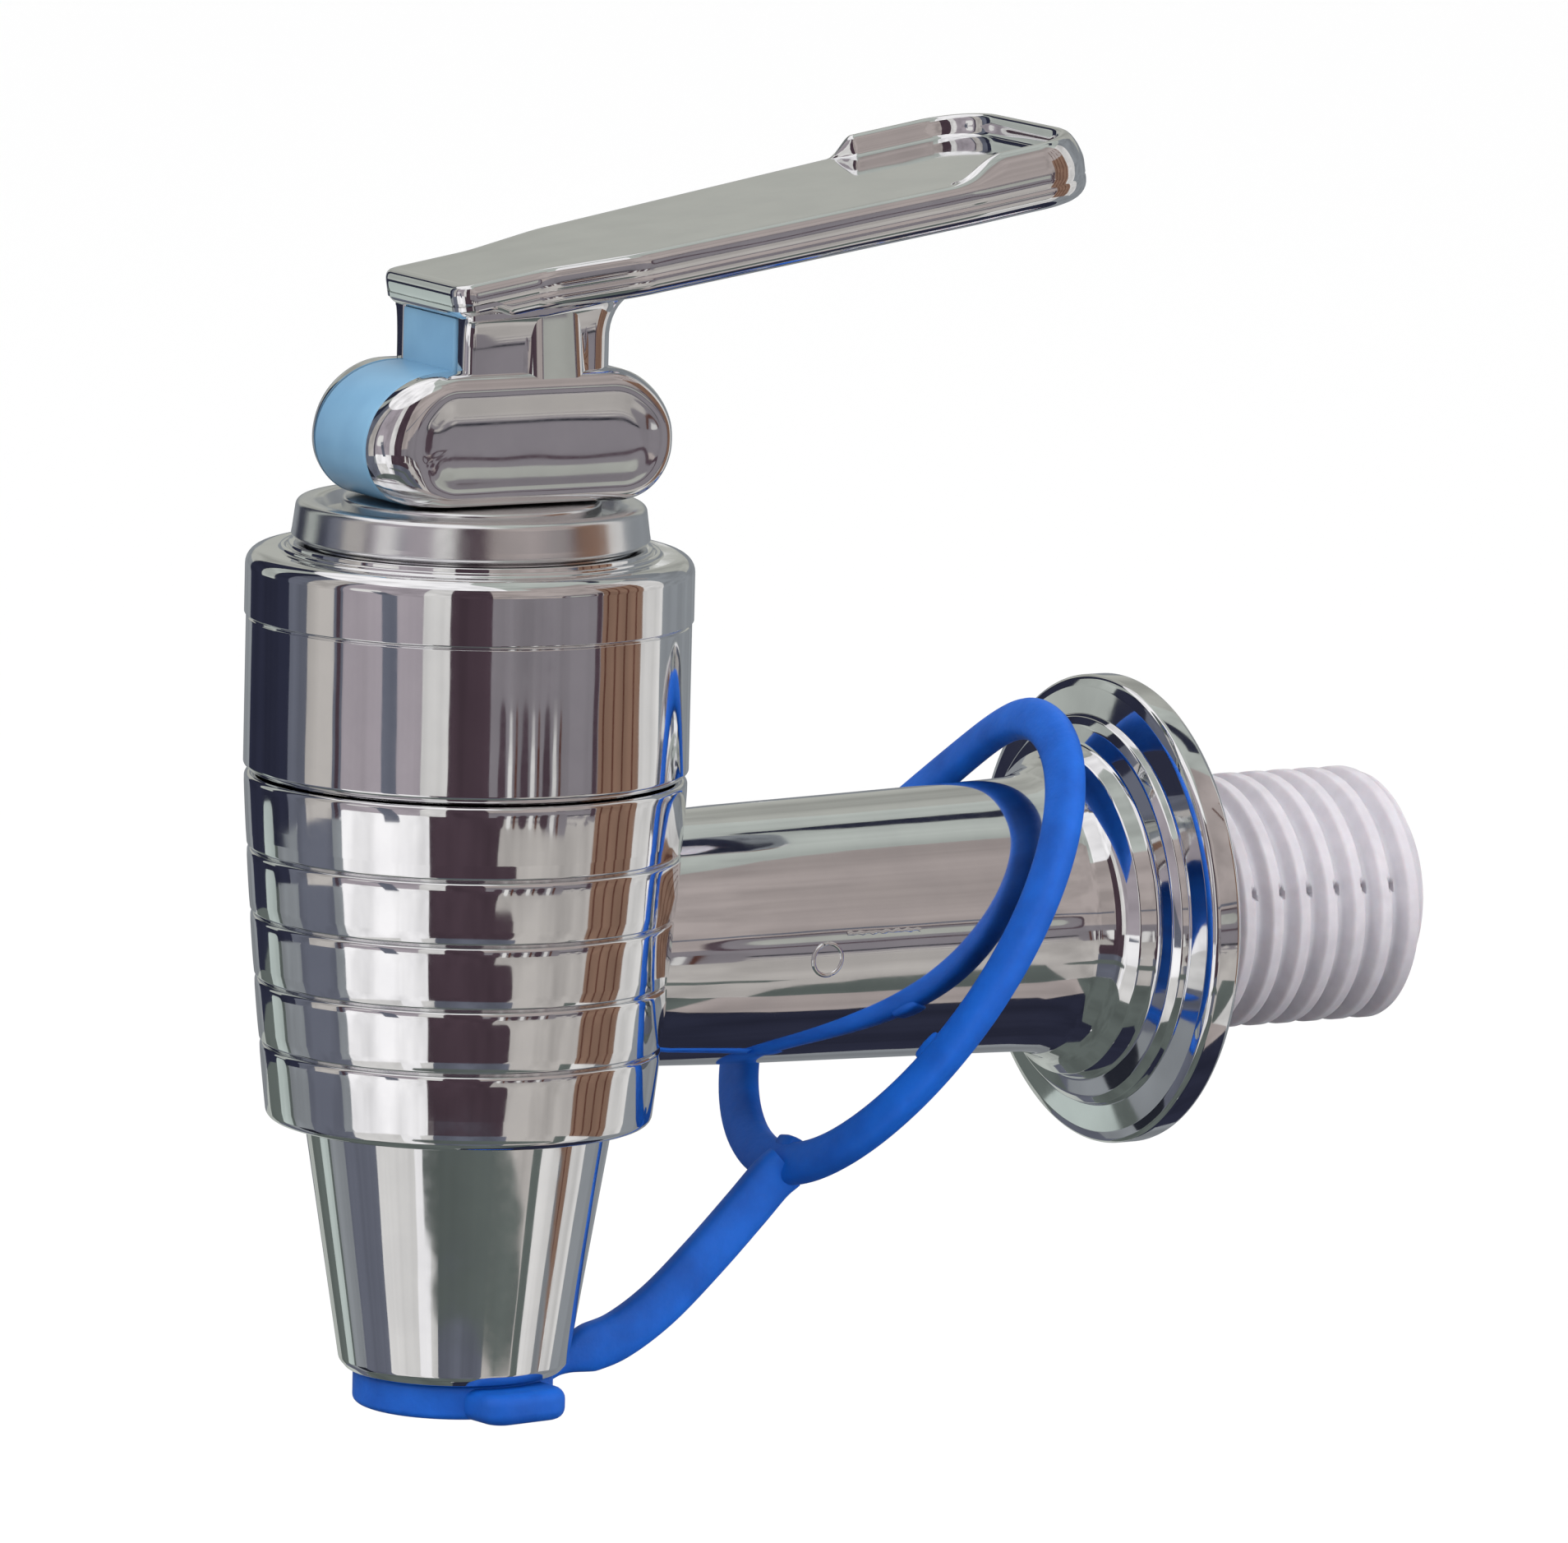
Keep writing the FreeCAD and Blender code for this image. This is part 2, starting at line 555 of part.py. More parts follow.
# Bonnet: ring, dish, table and sleeve
bonnet = new_body("bonnet")
rim_in_r = bonnet_top_r - d.rim_width
bush_r = d.stem_r + d.running_gap + d.bush_wall
guide_bore_r = bush_r + d.seat_gap
dish_under = d.dish_z - d.dish_thick
ring_root_r = tube_in_r - d.o_ring_r * 2 - d.seat_gap
turn(bonnet, "bonnet", [
    (bonnet_low_r, d.bonnet_low_z), (bonnet_top_r, d.bonnet_top_z), (rim_in_r, d.bonnet_top_z),
    (rim_in_r - d.dish_slope, d.dish_z), (d.boss_r, d.dish_z), (d.boss_r, d.boss_z),
    (guide_bore_r, d.boss_z), (guide_bore_r, d.guide_z), (d.guide_tube_r, d.guide_z),
    (d.guide_tube_r, dish_under), (d.sleeve_r - d.sleeve_wall, dish_under),
    (d.sleeve_r - d.sleeve_wall, d.sleeve_z), (d.sleeve_r, d.sleeve_z),
    (d.sleeve_r, d.o_ring_z - d.o_ring_r * 1.2), (ring_root_r, d.o_ring_z - d.o_ring_r * 1.2),
    (ring_root_r, d.o_ring_z + d.o_ring_r * 1.2), (d.sleeve_r, d.o_ring_z + d.o_ring_r * 1.2),
    (d.sleeve_r, d.bonnet_low_z),
])
round_edges(bonnet, "bonnet_rim", d.rim_width / 4, ring_edge(
    [(bonnet_top_r, d.bonnet_top_z), (rim_in_r, d.bonnet_top_z)]))
round_edges(bonnet, "bonnet_table", d.rim_width / 6, ring_edge(
    [(d.boss_r, d.boss_z), (bonnet_low_r, d.bonnet_low_z)]))
finish(on_barrel(bonnet))
o_ring("bonnet_o_ring", tube_in_r - d.o_ring_r - d.seat_gap / 2, d.o_ring_r, d.o_ring_z)

bush = new_body("guide_bush")
washer_top = d.guide_z - d.bush_flange - d.running_gap
turn(bush, "guide_bush_turned", [
    (d.stem_r + d.running_gap, d.guide_z - d.bush_flange), (d.bush_flange_r, d.guide_z - d.bush_flange),
    (d.bush_flange_r, d.guide_z), (bush_r, d.guide_z), (bush_r, d.boss_z - d.bush_flange),
    (d.stem_r + d.running_gap, d.boss_z - d.bush_flange),
])
finish(on_barrel(bush))

# Pieces that turn with the lever
washer_low = washer_top - d.washer_thick
flat_ring("swivel_washer", d.stem_r + d.running_gap * 2, d.spring_collar_r, washer_low, washer_top)

stem = new_body("stem")
collar_top = d.collar_z + d.collar_thick
ring_half = d.stem_ring_r + d.seat_gap
stem_root_r = d.stem_r - d.stem_ring_r * 2
button_low = d.button_top_z - d.button_thick
turn(stem, "stem_turned", [
    (0, button_low), (d.button_r, button_low), (d.button_r, d.button_top_z), (d.stem_neck_r, d.button_top_z),
    (d.stem_neck_r, d.collar_z), (d.spring_collar_r, d.collar_z), (d.spring_collar_r, collar_top),
    (d.stem_r, collar_top), (d.stem_r, d.stem_ring_z - ring_half), (stem_root_r, d.stem_ring_z - ring_half),
    (stem_root_r, d.stem_ring_z + ring_half), (d.stem_r, d.stem_ring_z + ring_half),
    (d.stem_r, d.stem_top_z), (0, d.stem_top_z),
])
tongue = outline(stem, "tongue_outline", "YZ_Plane", [
    (-d.tongue_r, d.stem_top_z - d.tongue_half), (d.tongue_r, d.stem_top_z - d.tongue_half),
    (d.tongue_r, d.pin_z), (-d.tongue_r, d.pin_z)])
pad(stem, "tongue", tongue, d.tongue_half * 2)
pad(stem, "tongue_head", circle(stem, "tongue_head_outline", "YZ_Plane", 0, d.pin_z, d.tongue_r),
    d.tongue_half * 2)
pocket(stem, "tongue_hole", circle(stem, "tongue_hole_outline", "YZ_Plane", 0, d.pin_z,
                                   d.pin_r + d.running_gap), d.tongue_half * 4)
finish(on_barrel(stem))
o_ring("stem_o_ring", d.stem_r + d.running_gap / 2 - d.stem_ring_r, d.stem_ring_r, d.stem_ring_z)

seal = new_body("valve_seal")
turn(seal, "valve_seal_moulded", [
    (0, seat_top + d.seat_gap), (d.seal_r, seat_top + d.seat_gap), (d.seal_r, button_low),
    (d.seal_top_r, d.button_top_z + d.seat_gap * 4), (d.seal_top_r - d.seat_gap * 4, d.seal_top_z),
    (d.stem_neck_r + d.seat_gap, d.seal_top_z), (d.stem_neck_r + d.seat_gap, d.button_top_z + d.seat_gap),
    (d.button_r + d.seat_gap, d.button_top_z + d.seat_gap), (d.button_r + d.seat_gap, button_low - d.seat_gap),
    (0, button_low - d.seat_gap),
])
finish(on_barrel(seal))

spring = new_body("spring")
spring_low = collar_top + d.seat_gap
spring_high = washer_low - d.seat_gap
wire = circle(spring, "wire_outline", "YZ_Plane", d.spring_r, spring_low + d.wire_r, d.wire_r)
coil = spring.newObject("PartDesign::AdditiveHelix", "coil")
coil.Profile = wire
coil.ReferenceAxis = (wire, ["V_Axis"])
coil.Mode = 0
bind(coil, "Pitch", (spring_high - spring_low - d.wire_r * 2) / d.spring_turns)
bind(coil, "Height", spring_high - spring_low - d.wire_r * 2)
spring.Tip = coil
finish(on_barrel(spring))

# Lever: plated shell round a coloured core

pin = doc.addObject("Part::Cylinder", "pivot_pin")
bind(pin, "Radius", d.pin_r)
bind(pin, "Height", d.pin_len)
pin.Placement = Placement(Vector(), Rotation(Vector(0, 1, 0), 90))
bind(pin, "Placement.Base.x", -d.pin_len / 2)
bind(pin, "Placement.Base.z", d.pin_z)
finish(on_barrel(pin))


def head_side(label, half_width, toe, heel):
    """The head's side view, pushed out to both sides."""
    side = new_body(label)
    pad(side, label + "_pad", outline(side, label + "_outline", "YZ_Plane", [
        (-toe, d.head_low_z), (heel, d.head_low_z), (heel, d.head_top_z), (-toe, d.head_top_z)]), half_width * 2)
    return side


def round_head(side, label, toe, heel=None):
    """Rounds the ends of a head in side view."""
    ends = [-toe] + ([heel] if heel else [])
    round_edges(side, label + "_low", d.head_low_round, cross_edge([(y, d.head_low_z) for y in ends]))
    round_edges(side, label + "_top", d.head_top_round, cross_edge([(y, d.head_top_z) for y in ends]))


head = head_side("head_side_view", d.head_half, d.head_toe, d.head_heel)
round_head(head, "head_side", d.head_toe, d.head_heel)
plan = new_body("head_plan_view")
pad(plan, "head_plan", outline(plan, "head_plan_outline", "XY_Plane", [
    (-d.head_half, -d.head_toe), (d.head_half, -d.head_toe), (d.head_half, d.head_heel),
    (-d.head_half, d.head_heel)]), d.head_top_z * 3)
round_edges(plan, "toe_corners", d.toe_round, upright_edge(
    [(-d.head_half, -d.head_toe), (d.head_half, -d.head_toe)]))
round_edges(plan, "heel_corners", d.heel_round, upright_edge(
    [(-d.head_half, d.head_heel), (d.head_half, d.head_heel)]))

head_block = doc.addObject("Part::Common", "head_block")
head_block.Base = head
head_block.Tool = plan

upright = new_body("upright")
upright_foot = d.head_top_z - d.head_top_round / 2
upright_height = d.plate_z - d.plate_thick / 2 - upright_foot
upright_sketch = outline(upright, "upright_outline", "XY_Plane", [
    (-d.wall_half, -d.upright_front), (d.wall_half, -d.upright_front), (d.wall_half, d.upright_back),
    (-d.wall_half, d.upright_back)])
pad(upright, "upright_pad", upright_sketch, upright_height, both_ways=False)
round_edges(upright, "upright_front_corners", d.head_half - d.wall_half, upright_edge(
    [(-d.wall_half, -d.upright_front), (d.wall_half, -d.upright_front)]))
round_edges(upright, "upright_back_corners", d.upright_round, upright_edge(
    [(-d.wall_half, d.upright_back), (d.wall_half, d.upright_back)]))
bind(upright, "Placement.Base.z", upright_foot)

gusset = new_body("gusset")
gusset_top = d.plate_z - d.plate_thick / 2
gusset_low = d.plate_z - d.plate_thick + (d.upright_back + d.gusset) * math.tan(math.radians(d.plate_tilt.value))
gusset_corners = [(d.upright_back - past, gusset_top), (d.upright_back - past, gusset_low - d.gusset)]
for step in range(7):
    angle = math.pi / 2 * step / 6
    gusset_corners.append((d.upright_back + d.gusset * (1 - math.cos(angle)),
                           gusset_low - d.gusset * (1 - math.sin(angle))))
gusset_corners.append((d.upright_back + d.gusset, gusset_top))
pad(gusset, "gusset_pad", outline(gusset, "gusset_outline", "YZ_Plane", gusset_corners),
    (d.wall_half - d.upright_round) * 2)

ribs = doc.addObject("Part::Box", "ribs")
bind(ribs, "Length", d.head_half * 2)
bind(ribs, "Width", d.rib_back - d.rib_front)
bind(ribs, "Height", d.rib_top_z - upright_foot)
bind(ribs, "Placement.Base.x", -d.head_half)
bind(ribs, "Placement.Base.y", d.rib_front)
bind(ribs, "Placement.Base.z", upright_foot)
doc.recompute()
rib_rounds = doc.addObject("Part::Fillet", "rib_rounds")
rib_rounds.Base = ribs
rib_rounds.Edges = [(number, 0.5, 0.5) for number, edge in enumerate(ribs.Shape.Edges, start=1)
                    if edge.BoundBox.ZLength > 1 or edge.BoundBox.ZMin > d.rib_top_z.value - 0.01]

plate = new_body("lever_plate")
right_side = [
    (d.nose_half, -d.plate_nose), (d.nose_half, d.flare_start), (d.plate_half, d.flare_end),
    (d.paddle_half, d.plate_tip - d.paddle_half * 1.4), (d.paddle_half, d.plate_tip)]
left_side = [(-x, y) for x, y in reversed(right_side)]
pad(plate, "plate_pad", outline(plate, "plate_outline", "XY_Plane", right_side + left_side),
    d.plate_thick + d.rail_height, both_ways=False)


def both_sides(spot):
    x, y = spot
    return [(x, y), (-x, y)]


def flat_edge(height, beyond=None):
    """Picks edges that lie at one height, all of them or those beyond a distance along the plate."""
    def wanted(edge):
        box = edge.BoundBox
        level = box.ZLength < 0.001 and abs(box.ZMin - height) < 0.001
        return level and (beyond is None or box.YMax > beyond)
    return wanted


round_edges(plate, "nose_corners", d.head_half - d.wall_half, upright_edge(both_sides(right_side[0])))
round_edges(plate, "flare_rounds", d.plate_half, upright_edge(
    both_sides(right_side[1]) + both_sides(right_side[2])))
round_edges(plate, "tip_rounds", d.paddle_half - 0.1, upright_edge(both_sides(right_side[4])))
rail_top = d.plate_thick + d.rail_height
pocket(plate, "plate_level", outline(plate, "plate_level_outline", "YZ_Plane", [
    (-d.plate_nose - past, d.plate_thick), (d.rail_start, d.plate_thick),
    (d.rail_start + d.rail_height * 1.2, rail_top), (d.rail_start + d.rail_height * 1.2, rail_top + past),
    (-d.plate_nose - past, rail_top + past)]), d.paddle_half * 4)
dish_half = d.paddle_half - d.rail_width
dish_end = d.plate_tip - d.paddle_half
dish_shapes = [
    outline(plate, "dish_outline", "XY_Plane", [
        (dish_half, d.rail_start - past), (dish_half, dish_end), (-dish_half, dish_end),
        (-dish_half, d.rail_start - past)]),
    circle(plate, "dish_tip_outline", "XY_Plane", 0, dish_end, dish_half)]
for sketch in dish_shapes:
    before_dish = volume_of(plate)
    sketch.AttachmentOffset = Placement(Vector(0, 0, d.plate_thick.value), Rotation())
    bind(sketch, "AttachmentOffset.Base.z", d.plate_thick)
    dish = plate.newObject("PartDesign::Pocket", sketch.Name + "_cut")
    dish.Profile = sketch
    dish.Reversed = True
    bind(dish, "Length", d.rail_height + past)
    plate.Tip = dish
    if volume_of(plate) > before_dish - 40:
        raise RuntimeError("the paddle's dish is missing")
round_edges(plate, "rail_rounds", d.rail_width / 4, flat_edge(rail_top.value))
round_edges(plate, "plate_low_edges", d.edge_round, flat_edge(0))
before_nose = volume_of(plate)
pocket(plate, "nose_thinning", outline(plate, "nose_thinning_outline", "YZ_Plane", [
    (-d.plate_nose - past, -past), (0, -past), (0, d.plate_thick - d.nose_thick),
    (-d.plate_nose - past, d.plate_thick - d.nose_thick)]), d.paddle_half * 4)
if volume_of(plate) > before_nose - 20:
    raise RuntimeError("the nose was not thinned")
tilted = Rotation(Vector(1, 0, 0), d.plate_tilt.value)
plate.Placement = Placement(Vector(0, d.plate_thick.value * math.sin(math.radians(d.plate_tilt.value)),
                                   d.plate_z.value - d.plate_thick.value), tilted)
bind(plate, "Placement.Rotation.Angle", d.plate_tilt)
bind(plate, "Placement.Base.z", d.plate_z - d.plate_thick)

solid_lever = doc.addObject("Part::MultiFuse", "solid_lever")
solid_lever.Shapes = [head_block, upright, gusset, rib_rounds, plate]
solid_lever.Refine = True

core_room = head_side("core_room", d.core_half + d.seat_gap, d.head_toe + past, d.core_heel + d.seat_gap)
column = outline(core_room, "column_room_outline", "YZ_Plane", [
    (-d.upright_front - past, d.head_low_z - past), (d.upright_front + past * 2, d.head_low_z - past),
    (d.upright_front + past * 2, d.plate_z - d.plate_thick - past * 0.8),
    (-d.upright_front - past, d.plate_z - d.plate_thick - past * 0.8)])
pad(core_room, "column_room", column, (d.core_half + d.seat_gap) * 2)
low_room = outline(core_room, "low_room_outline", "YZ_Plane", [
    (-d.head_toe - past, d.head_low_z - past), (d.core_heel + d.seat_gap, d.head_low_z - past),
    (d.core_heel + d.seat_gap, d.head_low_z + past), (-d.head_toe - past, d.head_low_z + past)])
pad(core_room, "low_room", low_room, (d.core_half + d.seat_gap) * 2)

hollow_lever = doc.addObject("Part::Cut", "hollow_lever")
hollow_lever.Base = solid_lever
hollow_lever.Tool = core_room
pin_room = doc.addObject("Part::Cylinder", "pin_room")
bind(pin_room, "Radius", d.pin_r + d.running_gap)
bind(pin_room, "Height", d.pin_len + d.seat_gap * 2)
pin_room.Placement = Placement(Vector(), Rotation(Vector(0, 1, 0), 90))
bind(pin_room, "Placement.Base.x", -d.pin_len / 2 - d.seat_gap)
bind(pin_room, "Placement.Base.z", d.pin_z)
lever = doc.addObject("Part::Cut", "lever")
lever.Base = hollow_lever
lever.Tool = pin_room
lever.Refine = True
finish(on_barrel(lever))

core = head_side("lever_core", d.core_half, d.head_toe, d.core_heel)
round_head(core, "core", d.head_toe)
column = outline(core, "core_column_outline", "YZ_Plane", [
    (-d.upright_front + d.seat_gap, d.head_top_z - past), (d.upright_front + past, d.head_top_z - past),
    (d.upright_front + past, d.plate_z - d.plate_thick - past),
    (-d.upright_front + d.seat_gap, d.plate_z - d.plate_thick - past)])
pad(core, "core_column", column, d.core_half * 2)
slot_half = d.tongue_r * 1.7
slot = outline(core, "tongue_slot_outline", "YZ_Plane", [
    (-slot_half, d.head_low_z - past), (slot_half, d.head_low_z - past),
    (slot_half, d.pin_z + d.tongue_r + d.tongue_half / 2), (-slot_half, d.pin_z + d.tongue_r + d.tongue_half / 2)])
before_slot = volume_of(core)
pocket(core, "tongue_slot", slot, (d.tongue_half + d.running_gap * 2) * 2)
pocket(core, "core_pin_hole", circle(core, "core_pin_outline", "YZ_Plane", 0, d.pin_z, d.pin_r + d.running_gap),
       d.core_half * 4)
if volume_of(core) > before_slot - 100:
    raise RuntimeError("the core's slot is missing")
finish(on_barrel(core))

# Silicone spout cap with its pull tab
cap = new_body("spout_cap")
cap_top = d.spout_z - d.seat_gap
cap_low = cap_top - d.cap_thick
plug_top = d.spout_z + d.cap_plug_len
plug_out_r = d.mouth_r - d.running_gap * 2
turn(cap, "cap_disc", [
    (0, cap_low), (d.cap_r, cap_low), (d.cap_r, cap_top), (plug_out_r, cap_top), (plug_out_r, plug_top),
    (plug_out_r - d.cap_wall, plug_top), (plug_out_r - d.cap_wall, cap_top), (0, cap_top)])
tab = outline(cap, "tab_outline", "XY_Plane", [
    (d.cap_r / 2, -d.tab_half), (d.tab_reach, -d.tab_half), (d.tab_reach, d.tab_half), (d.cap_r / 2, d.tab_half)])
tab.AttachmentOffset = Placement(Vector(0, 0, cap_low.value), Rotation(Vector(0, 0, 1), d.tab_turn.value))
bind(tab, "AttachmentOffset.Base.z", cap_low)
bind(tab, "AttachmentOffset.Rotation.Angle", d.tab_turn)
pad(cap, "tab_pad", tab, d.tab_thick, both_ways=False)
doc.recompute()


def tab_corner(edge):
    """Picks the two upright edges at the tab's end."""
    box = edge.BoundBox
    reach = math.hypot(box.Center.x, box.Center.y)
    return box.ZLength > 1 and box.XLength + box.YLength < 0.001 and reach > d.tab_reach.value


round_edges(cap, "tab_corners", d.tab_half - 0.3, tab_corner)
round_edges(cap, "cap_edge", d.seat_gap * 8, ring_edge([(d.cap_r, cap_low)]))
finish(on_barrel(cap))


def rounded_path(points, share=0.45):
    """Straight runs joined by tangent arcs, each as large as its two runs allow."""
    edges = []
    start = points[0]
    for before, corner, after in zip(points, points[1:], points[2:]):
        into = (corner - before).normalize()
        out = (after - corner).normalize()
        cut = share * min((corner - before).Length, (after - corner).Length)
        turn_angle = into.getAngle(out)
        radius = cut / math.tan(turn_angle / 2)
        first = corner - into * cut
        last = corner + out * cut
        middle = corner + (out - into).normalize() * (radius / math.cos(turn_angle / 2) - radius)
        edges.append(Part.LineSegment(start, first).toShape())
        edges.append(Part.Arc(first, middle, last).toShape())
        start = last
    edges.append(Part.LineSegment(start, points[-1]).toShape())
    return Part.Wire(edges)


# Strap from the cap up to a loop round the pipe
outer_loop = doc.addObject("Part::Ellipse", "outer_loop")
bind(outer_loop, "MajorRadius", d.loop_long + d.loop_wide / 2)
bind(outer_loop, "MinorRadius", d.loop_short + d.loop_wide / 2)
inner_loop = doc.addObject("Part::Ellipse", "inner_loop")
bind(inner_loop, "MajorRadius", d.loop_long - d.loop_wide / 2)
bind(inner_loop, "MinorRadius", d.loop_short - d.loop_wide / 2)
loop_blocks = []
for ellipse in (outer_loop, inner_loop):
    block = doc.addObject("Part::Extrusion", ellipse.Name + "_block")
    block.Base = ellipse
    block.DirMode = "Normal"
    block.Solid = True
    block.Symmetric = True
    bind(block, "LengthFwd", d.strap_thick)
    loop_blocks.append(block)
loop = doc.addObject("Part::Cut", "loop")
loop.Base, loop.Tool = loop_blocks
# the loop's long axis climbs towards the flange, and its short axis lies across the pipe
rise = math.radians(d.loop_rise.value)
lean = math.radians(d.loop_lean.value)
roll = math.radians(d.loop_roll.value)
long_axis = Vector(math.sin(lean), math.cos(rise) * math.cos(lean), math.sin(rise) * math.cos(lean))
level = Vector(1, 0, 0).cross(long_axis).normalize()
short_axis = long_axis.cross(level) * math.cos(roll) + level * math.sin(roll)
loop_centre = Vector(d.loop_x.value, d.loop_y.value, d.loop_z.value)
loop.Placement = Placement(loop_centre, Rotation(long_axis, short_axis, long_axis.cross(short_axis), "XYZ"))
for axis_name, size in (("x", d.loop_x), ("y", d.loop_y), ("z", d.loop_z)):
    bind(loop, "Placement.Base." + axis_name, size)


def on_loop(share):
    """A point of the loop's middle line, by a turn in radians from its low end."""
    along = -d.loop_long.value * math.cos(share)
    return loop_centre + long_axis * along + short_axis * (d.loop_short.value * math.sin(share))


low_turn = math.asin((d.loop_long.value * long_axis.x - loop_centre.x) / (d.loop_short.value * short_axis.x))
low_end = on_loop(low_turn)
barrel_y = -d.reach.value
strap_spots = []
for behind, above in ((d.spout_r + d.tail_gap, d.tail_rise), (d.bend_one_y, d.bend_one_z),
                      (d.bend_two_y, d.bend_two_z), (d.bend_three_y, d.bend_three_z)):
    strap_spots.append(Vector(0, barrel_y + behind.value, cap_top.value + above.value))
strap_spots.append(low_end)
strap_path = rounded_path(strap_spots)
run = (strap_spots[1] - strap_spots[0]).normalize()
side = Vector(1, 0, 0)
rise_dir = side.cross(run)
half_x = side * (d.strap_thick.value / 2)
half_w = rise_dir * (d.strap_wide.value / 2)
corners = [strap_spots[0] + half_x + half_w, strap_spots[0] - half_x + half_w,
           strap_spots[0] - half_x - half_w, strap_spots[0] + half_x - half_w]
section = Part.makePolygon(corners + corners[:1])
tail = doc.addObject("Part::Feature", "strap_tail")
tail.Shape = strap_path.makePipeShell([section], True, False)
root = doc.addObject("Part::Box", "strap_root")
bind(root, "Length", d.strap_thick)
bind(root, "Width", d.spout_r + d.tail_gap + d.root_gap * 2 - d.cap_r)
bind(root, "Height", d.root_thick)
bind(root, "Placement.Base.x", d.strap_thick / -2)
bind(root, "Placement.Base.y", d.cap_r + d.root_gap - d.reach)
bind(root, "Placement.Base.z", d.spout_z - d.root_gap - d.root_thick)
strap = doc.addObject("Part::MultiFuse", "cap_strap")
strap.Shapes = [loop, tail, root]
finish(strap)

doc.recompute()
for item in doc.Objects:
    if "Invalid" in item.State or "Error" in item.State:
        raise RuntimeError("%s failed: %s" % (item.Label, item.State))
os.makedirs("parts", exist_ok=True)
for item in nodes:
    shape = item.Shape
    if shape.isNull() or not shape.isValid() or not shape.Solids:
        raise RuntimeError("%s has no valid shape" % item.Label)
    shape.exportStep(os.path.join("parts", item.Label + ".step"))
    box = shape.BoundBox
    print("%-14s solids %d volume %8.1f  x %6.1f %6.1f  y %6.1f %6.1f  z %6.1f %6.1f" % (
        item.Label, len(shape.Solids), shape.Volume, box.XMin, box.XMax, box.YMin, box.YMax, box.ZMin, box.ZMax))
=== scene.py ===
import math

import bpy
import numpy as np
from mathutils import Matrix, Vector


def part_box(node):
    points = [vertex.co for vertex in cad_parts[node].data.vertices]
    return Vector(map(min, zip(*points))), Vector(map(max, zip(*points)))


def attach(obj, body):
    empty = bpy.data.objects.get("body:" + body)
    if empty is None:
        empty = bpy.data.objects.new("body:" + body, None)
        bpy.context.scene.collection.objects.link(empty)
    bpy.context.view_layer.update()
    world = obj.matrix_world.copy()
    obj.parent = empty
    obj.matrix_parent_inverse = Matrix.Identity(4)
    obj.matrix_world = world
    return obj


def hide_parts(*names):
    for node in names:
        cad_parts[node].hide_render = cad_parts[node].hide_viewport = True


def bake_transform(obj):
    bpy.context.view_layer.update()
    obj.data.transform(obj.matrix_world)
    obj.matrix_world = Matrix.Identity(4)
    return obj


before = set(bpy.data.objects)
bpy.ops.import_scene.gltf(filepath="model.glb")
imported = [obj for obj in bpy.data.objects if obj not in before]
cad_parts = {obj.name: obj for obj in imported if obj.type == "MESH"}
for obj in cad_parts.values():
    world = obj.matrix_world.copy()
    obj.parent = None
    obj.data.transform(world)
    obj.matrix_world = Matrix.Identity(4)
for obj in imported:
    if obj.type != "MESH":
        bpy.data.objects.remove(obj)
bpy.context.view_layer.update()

# Everything below is worked out in millimetres and scaled to metres as a mesh is made.
MM = 0.001
REACH = 58.75       # from the flange's back to the barrel's axis
TURNS = 224         # points round a turned shape
LONG_RUN = 0.9      # straight runs longer than this keep a straight shading
NEAR_END = 0.05     # how close to a run's end the added points lie


# Materials

def principled(mat):
    """The shader that a material is built on."""
    return mat.node_tree.nodes["Principled BSDF"]


def node_material(name, colour, metallic=0.0, roughness=0.4, **sockets):
    """A principled material with its plain values on the shader's own sockets."""
    mat = bpy.data.materials.new(name)
    mat.use_nodes = True
    shader = principled(mat)
    shader.inputs["Base Color"].default_value = (*colour, 1.0)
    shader.inputs["Metallic"].default_value = metallic
    shader.inputs["Roughness"].default_value = roughness
    for socket, value in sockets.items():
        shader.inputs[socket.replace("_", " ")].default_value = value
    return mat


def add_noise(mat, scale, detail=3.0):
    """Object-space noise for a material."""
    tree = mat.node_tree
    coords = tree.nodes.new("ShaderNodeTexCoord")
    noise = tree.nodes.new("ShaderNodeTexNoise")
    noise.inputs["Scale"].default_value = scale
    noise.inputs["Detail"].default_value = detail
    tree.links.new(coords.outputs["Object"], noise.inputs["Vector"])
    return noise


def add_ramp(mat, source, stops):
    """A colour ramp fed by a value."""
    ramp = mat.node_tree.nodes.new("ShaderNodeValToRGB")
    elements = ramp.color_ramp.elements
    while len(elements) < len(stops):
        elements.new(0.5)
    for element, (place, colour) in zip(elements, stops):
        element.position = place
        element.color = (*colour, 1.0)
    mat.node_tree.links.new(source, ramp.inputs["Fac"])
    return ramp


def colour_from(mat, source, stops):
    """Feeds the base colour from a ramp over a value."""
    ramp = add_ramp(mat, source, stops)
    mat.node_tree.links.new(ramp.outputs["Color"], principled(mat).inputs["Base Color"])


def add_bump(mat, height, strength, distance):
    """Bump from a height value."""
    tree = mat.node_tree
    bump = tree.nodes.new("ShaderNodeBump")
    bump.inputs["Strength"].default_value = strength
    bump.inputs["Distance"].default_value = distance
    tree.links.new(height, bump.inputs["Height"])
    tree.links.new(bump.outputs["Normal"], principled(mat).inputs["Normal"])


def roughness_from(mat, source, low, high):
    """Spreads a value between two roughnesses."""
    tree = mat.node_tree
    spread = tree.nodes.new("ShaderNodeMapRange")
    spread.inputs["To Min"].default_value = low
    spread.inputs["To Max"].default_value = high
    tree.links.new(source, spread.inputs["Value"])
    tree.links.new(spread.outputs["Result"], principled(mat).inputs["Roughness"])


